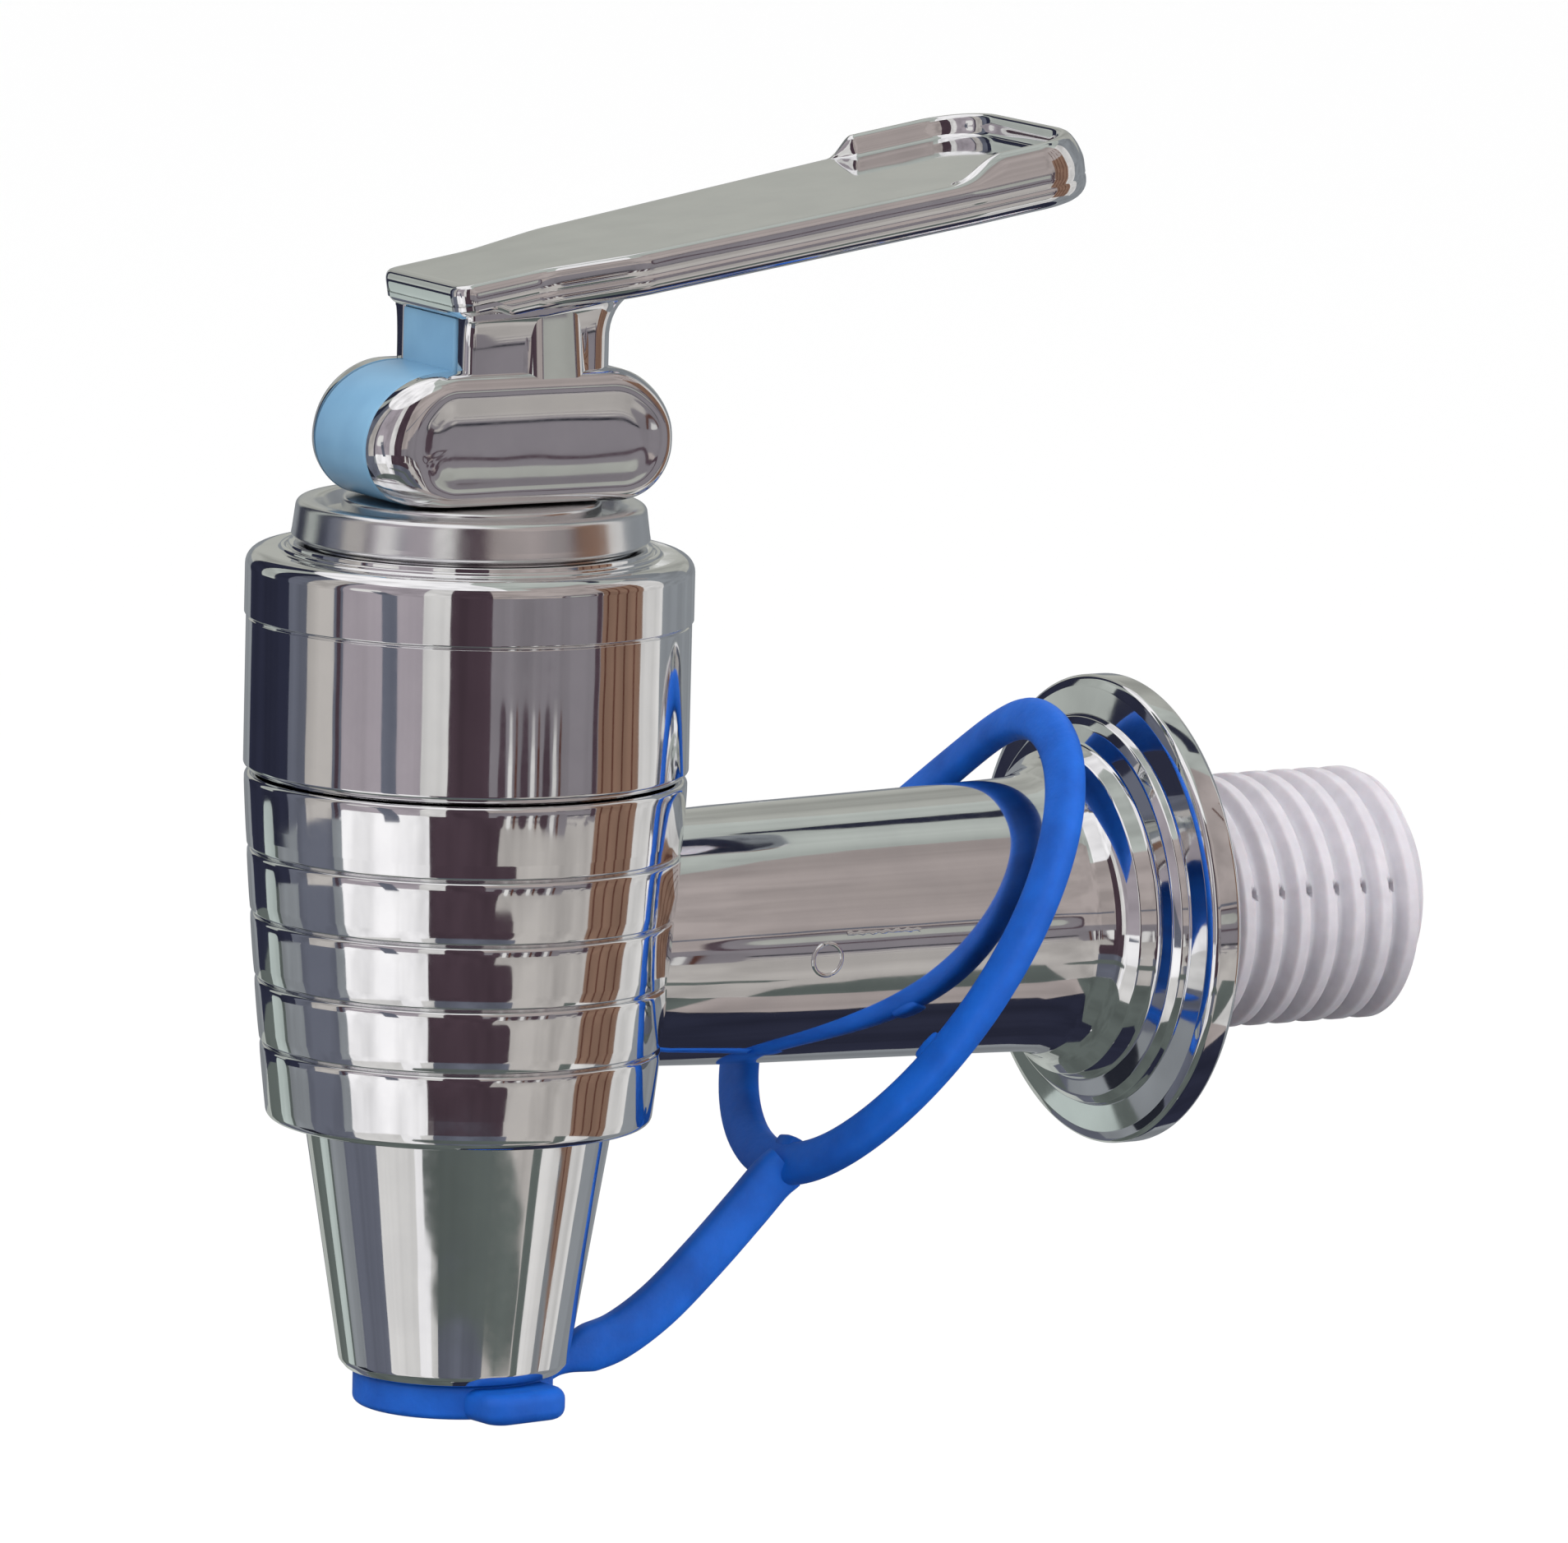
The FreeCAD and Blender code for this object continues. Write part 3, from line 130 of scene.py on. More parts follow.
def chrome_material(name, wave, haze_grain=(900.0, 6.0), haze=(0.02, 0.085)):
    """Plated plastic: mirror bright, with a faint waviness and a thin haze of dust."""
    mat = node_material(name, (0.86, 0.865, 0.875), metallic=1.0, roughness=0.05)
    tone = add_noise(mat, 260.0, 4.0).outputs["Fac"]
    colour_from(mat, tone, [(0.35, (0.84, 0.845, 0.855)), (0.65, (0.89, 0.895, 0.90))])
    roughness_from(mat, add_noise(mat, *haze_grain).outputs["Fac"], *haze)
    add_bump(mat, add_noise(mat, 120.0, 1.0).outputs["Fac"], wave, 0.0004)
    return mat


def grained_material(name, colour, grain, rough, metallic=0.0):
    """A material whose roughness varies with a fine grain."""
    mat = node_material(name, colour, metallic=metallic, roughness=rough[0])
    roughness_from(mat, add_noise(mat, *grain).outputs["Fac"], *rough[1:])
    return mat


chrome = chrome_material("chrome_plating", 0.10)
chrome_wavy = chrome_material("chrome_lever", 0.16)
chrome_satin = chrome_material("chrome_bonnet", 0.10, (700.0, 5.0), (0.15, 0.27))

thread_white = node_material("shank_plastic", (0.50, 0.48, 0.54), roughness=0.42,
                             Subsurface_Weight=0.12, Subsurface_Scale=0.002)
grain = add_noise(thread_white, 700.0, 4.0).outputs["Fac"]
colour_from(thread_white, grain, [(0.3, (0.46, 0.44, 0.48)), (0.7, (0.52, 0.50, 0.54))])
add_bump(thread_white, grain, 0.15, 0.0002)

silicone = node_material("blue_silicone", (0.002, 0.08, 0.41), roughness=0.55, Specular_IOR_Level=0.25,
                         Subsurface_Weight=0.15, Subsurface_Scale=0.0015)
blotch = add_noise(silicone, 240.0, 5.0).outputs["Fac"]
colour_from(silicone, blotch, [(0.32, (0.002, 0.070, 0.37)), (0.68, (0.004, 0.106, 0.52))])
skin = add_noise(silicone, 1500.0, 3.0).outputs["Fac"]
roughness_from(silicone, skin, 0.45, 0.68)
add_bump(silicone, skin, 0.25, 0.0002)

core_blue = node_material("lever_core_plastic", (0.19, 0.32, 0.43), roughness=0.34)
core_grain = add_noise(core_blue, 160.0, 4.0).outputs["Fac"]
colour_from(core_blue, core_grain, [(0.3, (0.13, 0.27, 0.42)), (0.7, (0.17, 0.34, 0.50))])
add_bump(core_blue, core_grain, 0.10, 0.0003)

# materials of the inner parts
steel = grained_material("spring_steel", (0.62, 0.61, 0.60), (1200.0, 4.0), (0.28, 0.2, 0.4), 1.0)
rubber = grained_material("seal_rubber", (0.02, 0.02, 0.02), (900.0, 3.0), (0.6, 0.5, 0.75))
seal = grained_material("seal_silicone", (0.72, 0.70, 0.64), (700.0, 3.0), (0.5, 0.42, 0.6))
nylon = grained_material("inner_plastic", (0.82, 0.81, 0.78), (800.0, 3.0), (0.4, 0.32, 0.5))

CAD_MATERIALS = {
    "tap_body": chrome, "upper_cover": chrome, "bonnet": chrome_satin, "lever": chrome_wavy,
    "shank": thread_white, "guide_bush": nylon, "swivel_washer": nylon, "stem": nylon,
    "shank_o_ring": rubber, "cover_gasket": rubber, "bonnet_o_ring": rubber, "stem_o_ring": rubber,
    "valve_seal": seal, "spring": steel, "pivot_pin": steel, "lever_core": core_blue,
    "spout_cap": silicone, "cap_strap": silicone,
}


def dress(obj, mat):
    """Gives every material slot of an object one material."""
    if not obj.material_slots:
        obj.data.materials.append(mat)
    for item in obj.material_slots:
        item.material = mat


for node_name, mat in CAD_MATERIALS.items():
    dress(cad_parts[node_name], mat)


# Mesh helpers

def make_piece(name, blocks, mat, angle=35.0):
    """Joins blocks of (points, faces) in millimetres into one smooth-shaded piece."""
    points = []
    faces = []
    for block_points, block_faces in blocks:
        start = len(points)
        points += [tuple(float(value) * MM for value in point) for point in block_points]
        faces += [tuple(start + corner for corner in face) for face in block_faces]
    mesh = bpy.data.meshes.new(name)
    mesh.from_pydata(points, [], faces)
    mesh.validate()
    mesh.update()
    obj = bpy.data.objects.new(name, mesh)
    bpy.context.scene.collection.objects.link(obj)
    mesh.materials.append(mat)
    mesh.shade_smooth()
    mesh.set_sharp_from_angle(angle=math.radians(angle))
    return obj


def rings_block(rings, closed=True, caps=(False, False), wrap=False):
    """Skins a list of point rings that all have as many points."""
    count = len(rings[0])
    points = [point for ring in rings for point in ring]
    faces = []
    last = len(rings) if wrap else len(rings) - 1
    for row in range(last):
        low = row * count
        high = ((row + 1) % len(rings)) * count
        for col in range(count if closed else count - 1):
            nxt = (col + 1) % count
            faces.append((low + col, low + nxt, high + nxt, high + col))
    if caps[0]:
        faces.append(tuple(reversed(range(count))))
    if caps[1]:
        faces.append(tuple(range((len(rings) - 1) * count, len(rings) * count)))
    return points, faces


def rounded_line(corners, arc_steps=7):
    """Points along a polyline whose corners (a, b, radius) are rounded by arcs."""
    line = []
    for index, corner in enumerate(corners):
        here = np.array(corner[:2], float)
        radius = corner[2] if len(corner) > 2 else 0.0
        if radius <= 0 or index in (0, len(corners) - 1):
            line.append(here)
            continue
        before = np.array(corners[index - 1][:2], float) - here
        after = np.array(corners[index + 1][:2], float) - here
        before_len = np.linalg.norm(before)
        after_len = np.linalg.norm(after)
        before /= before_len
        after /= after_len
        half = math.acos(max(-1.0, min(1.0, float(before @ after)))) / 2
        if half > math.pi / 2 - 0.01:
            line.append(here)
            continue
        cut = min(radius / math.tan(half), 0.49 * before_len, 0.49 * after_len)
        radius = cut * math.tan(half)
        middle = (before + after) / np.linalg.norm(before + after)
        centre = here + middle * (radius / math.sin(half))
        start = here + before * cut - centre
        end = here + after * cut - centre
        first = math.atan2(start[1], start[0])
        sweep = math.atan2(end[1], end[0]) - first
        sweep = (sweep + math.pi) % (2 * math.pi) - math.pi
        for step in range(arc_steps + 1):
            turn = first + sweep * step / arc_steps
            line.append(centre + radius * np.array([math.cos(turn), math.sin(turn)]))
    return line


def hold_flats(line):
    """Adds points close to the ends of long straight runs, so that their shading stays straight."""
    line = [np.array(point, float) for point in line]
    result = [line[0]]
    for before, after in zip(line, line[1:]):
        span = after - before
        length = np.linalg.norm(span)
        if length > LONG_RUN:
            result += [before + span * (NEAR_END / length), after - span * (NEAR_END / length)]
        result.append(after)
    return result


def lathe_z(profile, turns=TURNS):
    """Turns (radius, height) points about the barrel's axis."""
    rings = []
    for radius, height in hold_flats(profile):
        rings.append([(radius * math.cos(2 * math.pi * k / turns),
                       -REACH + radius * math.sin(2 * math.pi * k / turns), height) for k in range(turns)])
    return rings_block(rings)


def ring_y(radius, along, turns):
    """A ring of points about the shank's axis."""
    return [(radius * math.sin(2 * math.pi * k / turns), along, radius * math.cos(2 * math.pi * k / turns))
            for k in range(turns)]


def smooth_step(low, high, value):
    """0 below low, 1 above high and an even curve between."""
    share = max(0.0, min(1.0, (value - low) / (high - low)))
    return share * share * (3 - 2 * share)


# Barrel, spout, pipe and flange

SEAM_Z = 14.0
GROOVES = [8.1, 3.1, -1.9, -6.9]
FOOT_Z = -12.85
BAND_BULGE = 0.02
BAND_SHARES = (0.15, 0.3, 0.45, 0.6, 0.8)
GROOVE_DEPTH = 0.55


def band_radius(height):
    """Radius of the banded barrel, which narrows a little faster as it goes down."""
    drop = SEAM_Z - height
    return 16.95 - drop * 0.05 - drop * drop * 0.0012


barrel = [(14.45, 19.0), (14.45, 21.9), (15.0, 21.9), (15.0, SEAM_Z - 0.05), (16.2, SEAM_Z - 0.05)]
tops = [SEAM_Z - 0.05] + GROOVES
for top, low in zip(tops, GROOVES + [FOOT_Z]):
    face_top = top - 0.15
    face_low = low + 0.12
    barrel.append((band_radius(face_top) - BAND_BULGE, face_top, 0.75))
    for share in BAND_SHARES:
        height = face_top + (face_low - face_top) * share
        barrel.append((band_radius(height) + BAND_BULGE * (1 - (2 * share ** 0.7 - 1) ** 2), height))
    if low > FOOT_Z:
        barrel.append((band_radius(face_low) - BAND_BULGE, face_low, 0.22))
        barrel.append((band_radius(low) - GROOVE_DEPTH, low, 0.05))
    else:
        barrel.append((band_radius(low), low, 1.0))
barrel += [(11.85, FOOT_Z, 0.25), (8.82, -31.6, 0.8), (8.3, -32.18, 0.2), (6.62, -32.18, 0.2),
           (6.7, -30.0), (8.5, -11.2, 0.4), (4.1, -11.0)]

# pipe, its foot, the flange's steps and rim, and the socket for the shank: (radius, y, rounding)
pipe = rounded_line([
    (9.3, -46.5), (9.7, -43.75), (10.02, -36.6), (10.28, -26.0), (10.62, -13.0), (10.72, -10.0),
    (10.95, -8.6, 3.0), (11.6, -6.9, 2.5), (12.75, -5.9, 0.35), (13.0, -5.0, 0.45), (13.15, -4.45, 0.5),
    (14.6, -4.1, 0.6), (15.2, -3.6, 0.3), (15.35, -3.05, 0.12), (17.5, -2.75, 0.5), (18.4, -2.4, 0.6),
    (18.4, -0.35, 0.45), (18.0, 0.0, 0.2), (10.6, 0.0), (10.4, -0.4), (8.1, -0.4), (8.1, -14.0)], 8)
pipe_block = rings_block([ring_y(radius, along, TURNS) for radius, along in pipe])
body_shell = make_piece("body_shell", [lathe_z(rounded_line(barrel, 6)), pipe_block], chrome)
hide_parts("tap_body")
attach(body_shell, "fixed_parts")

# Upper cover, with its parting line and the two fine ridges on top
cover = rounded_line([
    (14.3, 20.4), (15.2, 20.4), (15.2, 14.1), (16.6, 14.1, 0.12), (17.0, 14.5, 0.3), (17.0, 25.75, 0.1),
    (16.86, 25.9, 0.04), (17.14, 26.05, 0.1), (17.14, 31.0, 1.6), (14.55, 31.0, 0.3), (14.5, 31.28, 0.12),
    (14.15, 31.3, 0.15), (14.05, 31.1, 0.05), (13.95, 31.1, 0.05), (13.9, 31.55, 0.12), (13.55, 31.6, 0.1),
    (12.7, 31.6, 0.1), (12.65, 20.4), (14.3, 20.4)], 8)
cover_shell = make_piece("cover_shell", [lathe_z(cover)], chrome)
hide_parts("upper_cover")
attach(cover_shell, "fixed_parts")

# Bonnet: ring, dish and raised table
bonnet = rounded_line([
    (12.4, 24.2), (12.45, 31.75), (13.4, 31.8, 0.25), (13.7, 32.15, 0.2), (13.62, 32.6, 0.3),
    (13.33, 34.8, 0.55), (11.75, 34.8, 0.55), (11.2, 33.75, 0.4), (10.7, 33.5, 0.4), (9.9, 33.5, 0.15),
    (9.9, 35.12, 0.3), (4.3, 35.12, 0.1), (4.2, 31.0)], 7)
bonnet_shell = make_piece("bonnet_shell", [lathe_z(bonnet)], chrome_satin)
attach(bonnet_shell, "fixed_parts")
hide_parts("bonnet")

# White threaded shank, with a small moulding mark between its turns
PITCH = 2.5
CORE_R = 8.95
RIDGE_RISE = 1.05
BORE_R = 5.6
SHANK_END = 22.75
END_FROM = 21.9         # the ridge fades from here to the end
END_DROP = 0.9          # how far the end is rounded in
THREAD_ROWS = 210
THREAD_COLUMNS = 240
MARK_TURN = 77.4
MARK_HALF = 3.2
MARK_DEPTH = 0.9
thread_rings = []
for row in range(THREAD_ROWS + 1):
    along = SHANK_END * row / THREAD_ROWS
    ring = []
    for col in range(THREAD_COLUMNS):
        angle = 2 * math.pi * col / THREAD_COLUMNS
        phase = ((along - 1.5) / PITCH - angle / (2 * math.pi)) % 1.0
        offset = abs(phase - 0.5) * 2
        ridge = 1.0 - smooth_step(0.30, 0.88, offset)
        fade = smooth_step(0.9, 2.4, along) * (1 - smooth_step(END_FROM, SHANK_END, along) * 0.75)
        radius = CORE_R + RIDGE_RISE * ridge * fade
        radius -= END_DROP * smooth_step(21.6, SHANK_END, along) ** 2
        from_mark = abs(math.degrees(angle) - MARK_TURN)
        if from_mark < MARK_HALF and offset > 0.2 and phase > 0.5 and 1.5 < along < 21.0:
            radius -= MARK_DEPTH * (1 - from_mark / MARK_HALF)
        ring.append((radius * math.sin(angle), along, radius * math.cos(angle)))
    thread_rings.append(ring)
bore = [ring_y(BORE_R, along, THREAD_COLUMNS) for along in (22.7, 0.0)]
shank_piece = make_piece("shank_thread", [rings_block(thread_rings + bore)], thread_white, 50.0)
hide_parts("shank")
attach(shank_piece, "fixed_parts")


# Lever

def resample(line, count):
    """Evenly spaced points round a closed outline."""
    loop = np.array(list(line) + [line[0]], float)
    steps = np.linalg.norm(np.diff(loop, axis=0), axis=1)
    keep = np.concatenate([[True], steps > 1e-7])
    loop = loop[keep]
    along = np.concatenate([[0], np.cumsum(np.linalg.norm(np.diff(loop, axis=0), axis=1))])
    spots = np.linspace(0, along[-1], count, endpoint=False)
    return np.stack([np.interp(spots, along, loop[:, 0]), np.interp(spots, along, loop[:, 1])], axis=1)


def arc(cu, cz, ru, rz, first, last, count=24):
    """Points of an elliptical arc between two angles in degrees."""
    turns = np.radians(np.linspace(first, last, count))
    return [(cu + ru * math.cos(t), cz + rz * math.sin(t)) for t in turns]


def closed_round(corners, arc_steps=10):
    """A closed outline with rounded corners, starting midway along its longest side."""
    spots = [np.array(corner[:2], float) for corner in corners]
    lengths = [np.linalg.norm(spots[(k + 1) % len(spots)] - spots[k]) for k in range(len(spots))]
    first = int(np.argmax(lengths))
    order = list(corners[first + 1:]) + list(corners[:first + 1])
    start = (np.array(order[0][:2], float) + np.array(order[-1][:2], float)) / 2
    return rounded_line([tuple(start)] + order + [tuple(start)], arc_steps)[:-1]


def outward(outline):
    """Outward normals of an anticlockwise outline."""
    ahead = np.roll(outline, -1, axis=0) - np.roll(outline, 1, axis=0)
    normal = np.stack([ahead[:, 1], -ahead[:, 0]], axis=1)
    return normal / np.linalg.norm(normal, axis=1)[:, None]


def soft_block(outline, levels, place):
    """Stacks insets of an outline: levels hold (height, inset per point), place maps a point to space."""
    normal = outward(outline)
    rings = []
    for height, inset in levels:
        ring = outline - normal * np.broadcast_to(np.asarray(inset, float), (len(outline),))[:, None]
        rings.append([place(a, b, height) for a, b in ring])
    return rings_block(rings, caps=(True, True))


def edge_inset(radius, depth):
    """How far a rounded edge is set back at a depth below its face."""
    left = np.clip(radius - depth, 0, None)
    return radius - np.sqrt(np.clip(radius * radius - left * left, 0, None))


def round_levels(low, high, radius, steps):
    """Heights and insets of a straight wall with rounded edges at both ends."""
    levels = []
    for step in range(steps + 1):
        depth = radius * (1 - math.cos(math.pi / 2 * step / steps))
        levels.append((low + depth, float(edge_inset(radius, depth))))
    for step in range(steps + 1):
        depth = radius * (1 - math.cos(math.pi / 2 * (steps - step) / steps))
        levels.append((high - depth, float(edge_inset(radius, depth))))
    return levels


def side_place(a, b, height):
    """Outline in (u, z), height along x."""
    return (height, -REACH + a, b)


HEAD_HALF = 6.7          # half the head's width
HEAD = resample(arc(9.5, 39.6, 4.4, 4.4, -90, 0) + arc(8.3, 39.8, 5.6, 5.6, 0, 90)
                + arc(-4.8, 39.7, 6.7, 5.7, 90, 180) + arc(-7.0, 39.7, 4.5, 4.5, 180, 270), 260)
HEEL_FROM = 9.0          # the heel's face closes the head behind this
HEEL_HALF = 4.2
DISH_LINE = (-4.4, 9.3)  # the dish in each side runs down to a line between these, at DISH_Z
DISH_Z = 40.25
FACE_DISH = [(0.03, 0.0), (0.09, 0.002), (0.14, 0.012), (0.2, 0.036), (0.28, 0.074), (0.38, 0.118),
             (0.5, 0.155), (0.62, 0.178), (0.75, 0.19), (0.88, 0.196), (0.97, 0.197)]
CHEEK_DEPTHS = [2.5, 2.1, 1.75, 1.4, 1.1, 0.85, 0.63, 0.45, 0.3, 0.18, 0.09, 0.03, 0.0]

toe = np.array([1 - smooth_step(-10.8, -5.0, u) for u, _ in HEAD])
crown = np.array([smooth_step(40.5, 44.5, z) for _, z in HEAD])
cheek_round = 0.75 + 2.25 * toe * (1 - 0.25 * crown) + 0.55 * crown * (1 - toe)
normal = outward(HEAD)
lever_blocks = []
for sign in (1, -1):
    rings = []
    for depth in CHEEK_DEPTHS:
        spots = HEAD - normal * edge_inset(cheek_round, depth)[:, None]
        rings.append([(sign * (HEAD_HALF - depth), -REACH + u, z) for u, z in spots])
    middles = np.stack([np.clip(spots[:, 0], *DISH_LINE), np.full(len(spots), DISH_Z)], axis=1)
    for share, sink in FACE_DISH:
        inner = spots + (middles - spots) * share
        rings.append([(sign * (HEAD_HALF - sink), -REACH + u, z) for u, z in inner])
    lever_blocks.append(rings_block(rings, caps=(True, True)))
start = next(i for i in range(len(HEAD)) if HEAD[i][0] < HEEL_FROM <= HEAD[(i + 1) % len(HEAD)][0])
ordered = [HEAD[(start + 1 + k) % len(HEAD)] for k in range(len(HEAD))]
heel = [point for point in ordered if point[0] >= HEEL_FROM]
lever_blocks.append(rings_block([[(x, -REACH + u, z) for u, z in heel] for x in (-HEEL_HALF, HEEL_HALF)]))

UPRIGHT_LOW = 44.0
TILT = math.radians(9.3)  # how steeply the plate rises
PLATE_Z = 52.8            # its top, above the barrel's axis
PLATE_THICK = 3.5
NOSE_CUT = 0.7            # how much thinner it is at its front
GUSSET = 3.0              # fillet between the upright's back and the plate
FOOT_FROM = 3.2           # levels below this are drawn together to end at UPRIGHT_LOW
BACK_FROM = 5.5           # the fillet grows from here to the upright's back
BACK_SPAN = 3.8
UPRIGHT_LEVELS = (-0.4, 0.0, 0.08, 0.2, 0.38, 0.6, 0.9, 1.25, 1.7, 2.2, 2.8, 3.2, 4.2, 5.4, 6.6)


def plate_under(u):
    """Height of the plate's underside."""
    return PLATE_Z + u * math.tan(TILT) - PLATE_THICK / math.cos(TILT)


# the upright is an open channel round the core's column; its levels are depths below the plate
channel = closed_round([(-5.9, -3.9, 1.1), (-4.2, -3.9, 0.3), (-4.2, 4.9), (4.2, 4.9), (4.2, -3.9, 0.3),
                        (5.9, -3.9, 1.1), (5.9, 9.3, 2.3), (-5.9, 9.3, 2.3)], 8)
up_rings = []
for from_top in UPRIGHT_LEVELS:
    ring = []
    for x, u in channel:
        left = GUSSET - max(0.0, from_top)
        flare = GUSSET - math.sqrt(max(0.0, GUSSET ** 2 - left ** 2)) if left > 0 else 0.0
        grow_u = flare * max(0.0, u - BACK_FROM) / BACK_SPAN
        grow_x = 0.12 * flare if abs(x) > 5.0 else 0.0
        top = plate_under(u + grow_u) + (NOSE_CUT if u < 0 else 0.0) * smooth_step(0.0, -3.0, u)
        low_share = min(1.0, max(0.0, (top - UPRIGHT_LOW) / UPRIGHT_LEVELS[-1])) if from_top > FOOT_FROM else 1.0
        ring.append((x + math.copysign(grow_x, x), -REACH + u + grow_u, top - from_top * low_share))
    up_rings.append(ring)
lever_blocks.append(rings_block(up_rings, caps=(True, True)))

# side ribs with a soft foot on the upright: (distance from the middle, inset)
RIB_LEVELS = [(4.4, -0.7), (5.86, -0.7), (5.9, -0.5), (5.98, -0.3), (6.1, -0.12), (6.22, 0.02),
              (6.34, 0.16), (6.45, 0.33), (6.54, 0.53), (6.585, 0.75), (6.6, 1.0)]
RIB_LOW = 43.4
RIB_LEAN = 0.079          # its face leans in by this much a millimetre of height


def rib_place(sign):
    """As side_place, with the rib's face leaning back towards the plate."""
    def place(a, b, height):
        lean = RIB_LEAN * max(0.0, b - RIB_LOW) * smooth_step(5.9, 6.3, height)
        return (sign * (height - lean), -REACH + a, b)
    return place


rib = resample(closed_round([(1.5, RIB_LOW, 0.3), (6.2, RIB_LOW, 0.3), (5.9, 52.2, 1.4),
                             (1.5, 51.4, 1.4)], 8), 150)
for sign in (1, -1):
    lever_blocks.append(soft_block(rib, RIB_LEVELS, rib_place(sign)))

# plate with its raised border: inset from the edge, height above the plate's top, share of the border's rise
RIM_PROFILE = [
    (0.0, -1.2, 0.0), (0.0, -0.75, 0.0), (0.03, -0.5, 0.02), (0.1, -0.3, 0.08), (0.2, -0.15, 0.2),
    (0.33, -0.06, 0.38), (0.5, -0.02, 0.58), (0.68, 0.0, 0.76), (0.88, 0.0, 0.9), (1.08, 0.0, 0.98),
    (1.28, 0.0, 1.0), (1.46, 0.0, 0.97), (1.6, 0.0, 0.87), (1.7, 0.0, 0.7), (1.77, 0.0, 0.45),
    (1.84, 0.0, 0.2), (1.94, 0.0, 0.06), (2.1, 0.0, 0.0)]
RIM_EDGE = 0.88           # beyond this inset the profile closes up where the border is low
BORDER_RISE = 1.6
PARTING_LINE = ((1.55, 0.0), (1.65, 0.045), (1.78, 0.045), (1.88, 0.0))
TIP = 50.3
UNDER_STEPS = 8


def on_plate(a, b, height):
    """Plate coordinates: across, along and height above the plate's underside."""
    along = b * math.cos(TILT) - (height - PLATE_THICK) * math.sin(TILT)
    raised = PLATE_Z + b * math.sin(TILT) + (height - PLATE_THICK) * math.cos(TILT)
    return (a, -REACH + along, raised)


def towards_middle(outline, low, high, share):
    """An outline drawn in towards the plate's middle line, which runs from low to high."""
    middle = np.stack([np.zeros(len(outline)), np.clip(outline[:, 1], low, high)], axis=1)
    return outline * (1 - share) + middle * share


half_plan = [(6.5, -5.1, 1.5), (6.5, 2.5, 7.0), (8.6, 9.5, 9.0), (10.3, 38.5, 20.0), (10.3, TIP, 10.2)]
plan = half_plan + [(-x, y, r) for x, y, r in reversed(half_plan)]
plan = resample(closed_round(plan, 30), 620)
rail_far = np.array([smooth_step(36.4, 38.4, y) for _, y in plan])
rail_near = np.array([smooth_step(36.2, 41.5, y) for _, y in plan])
rail_share = np.where(plan[:, 0] > 0, rail_near, rail_far)
wide = 0.95 + 0.15 * rail_share
rise = BORDER_RISE * rail_share
low_round = 1.25 + 0.05 * rail_share
normal = outward(plan)
nose_lift = np.array([NOSE_CUT * smooth_step(-0.6, -2.4, y) for _, y in plan])
plate_rings = []
for share in (0.75, 0.5, 0.25):
    inner = towards_middle(plan, 3, 40, share)
    plate_rings.append([on_plate(x, y, lift) for (x, y), lift in zip(inner, nose_lift)])
for step in range(UNDER_STEPS + 1):
    angle = math.pi / 2 * step / UNDER_STEPS
    inset = low_round * (1 - math.sin(angle))
    spots = plan - normal * inset[:, None]
    plate_rings.append([on_plate(x, y, lift + r * (1 - math.cos(angle)))
                        for (x, y), r, lift in zip(spots, low_round, nose_lift)])
for level, inset in PARTING_LINE:
    plate_rings.append([on_plate(x, y, level) for x, y in plan - normal * inset])
for inset, level, lift in RIM_PROFILE:
    reach_in = np.minimum(inset, RIM_EDGE) + max(0.0, inset - RIM_EDGE) * (0.08 + 0.92 * rail_share)
    spots = plan - normal * (reach_in * wide)[:, None]
    plate_rings.append([on_plate(x, y, PLATE_THICK + level + extra * lift)
                        for (x, y), extra in zip(spots, rise)])
for share in (0.12, 0.3, 0.6, 0.85):
    plate_rings.append([on_plate(x, y, PLATE_THICK - 0.02)
                        for x, y in towards_middle(spots, -3.2, 40.5, share)])
lever_blocks.append(rings_block(plate_rings, caps=(True, True)))
lever_shell = make_piece("lever_shell", lever_blocks, chrome_wavy, 40.0)
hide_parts("lever")
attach(lever_shell, "lever_parts")

# Light blue core: a block through the head, and a column up the channel
CORE_HALF = 4.17
core_outline = resample(arc(8.85, 35.27, 0.05, 0.05, -90, 0, 3) + arc(8.85, 45.3, 0.05, 0.05, 0, 90, 3)
                        + arc(-4.8, 39.7, 6.75, 5.68, 90, 180) + arc(-7.0, 39.72, 4.55, 4.5, 180, 270), 220)
column = resample(closed_round([(-4.05, 44.0), (4.8, 44.0), (4.8, 50.0), (-4.05, 49.4)], 4), 80)
core_blocks = [soft_block(core_outline, round_levels(-CORE_HALF, CORE_HALF, 0.45, 5), side_place),
               soft_block(column, round_levels(-CORE_HALF, CORE_HALF, 0.25, 3), side_place)]
core_piece = make_piece("core_block", core_blocks, core_blue, 40.0)
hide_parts("lever_core")
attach(core_piece, "lever_parts")


# Blue stopper, strap and loop

def smooth_line(points, per_span):
    """A smooth open line through points."""
    spots = [np.array(p, float) for p in points]
    result = []
    for index in range(len(spots) - 1):
        p1, p2 = spots[index], spots[index + 1]
        p0 = spots[index - 1] if index > 0 else 2 * p1 - p2
        p3 = spots[index + 2] if index + 2 < len(spots) else 2 * p2 - p1
        for step in range(per_span):
            t = step / per_span
            result.append(0.5 * ((2 * p1) + (p2 - p0) * t + (2 * p0 - 5 * p1 + 4 * p2 - p3) * t * t
                                 + (3 * p1 - p0 - 3 * p2 + p3) * t ** 3))
    return result + [spots[-1]]


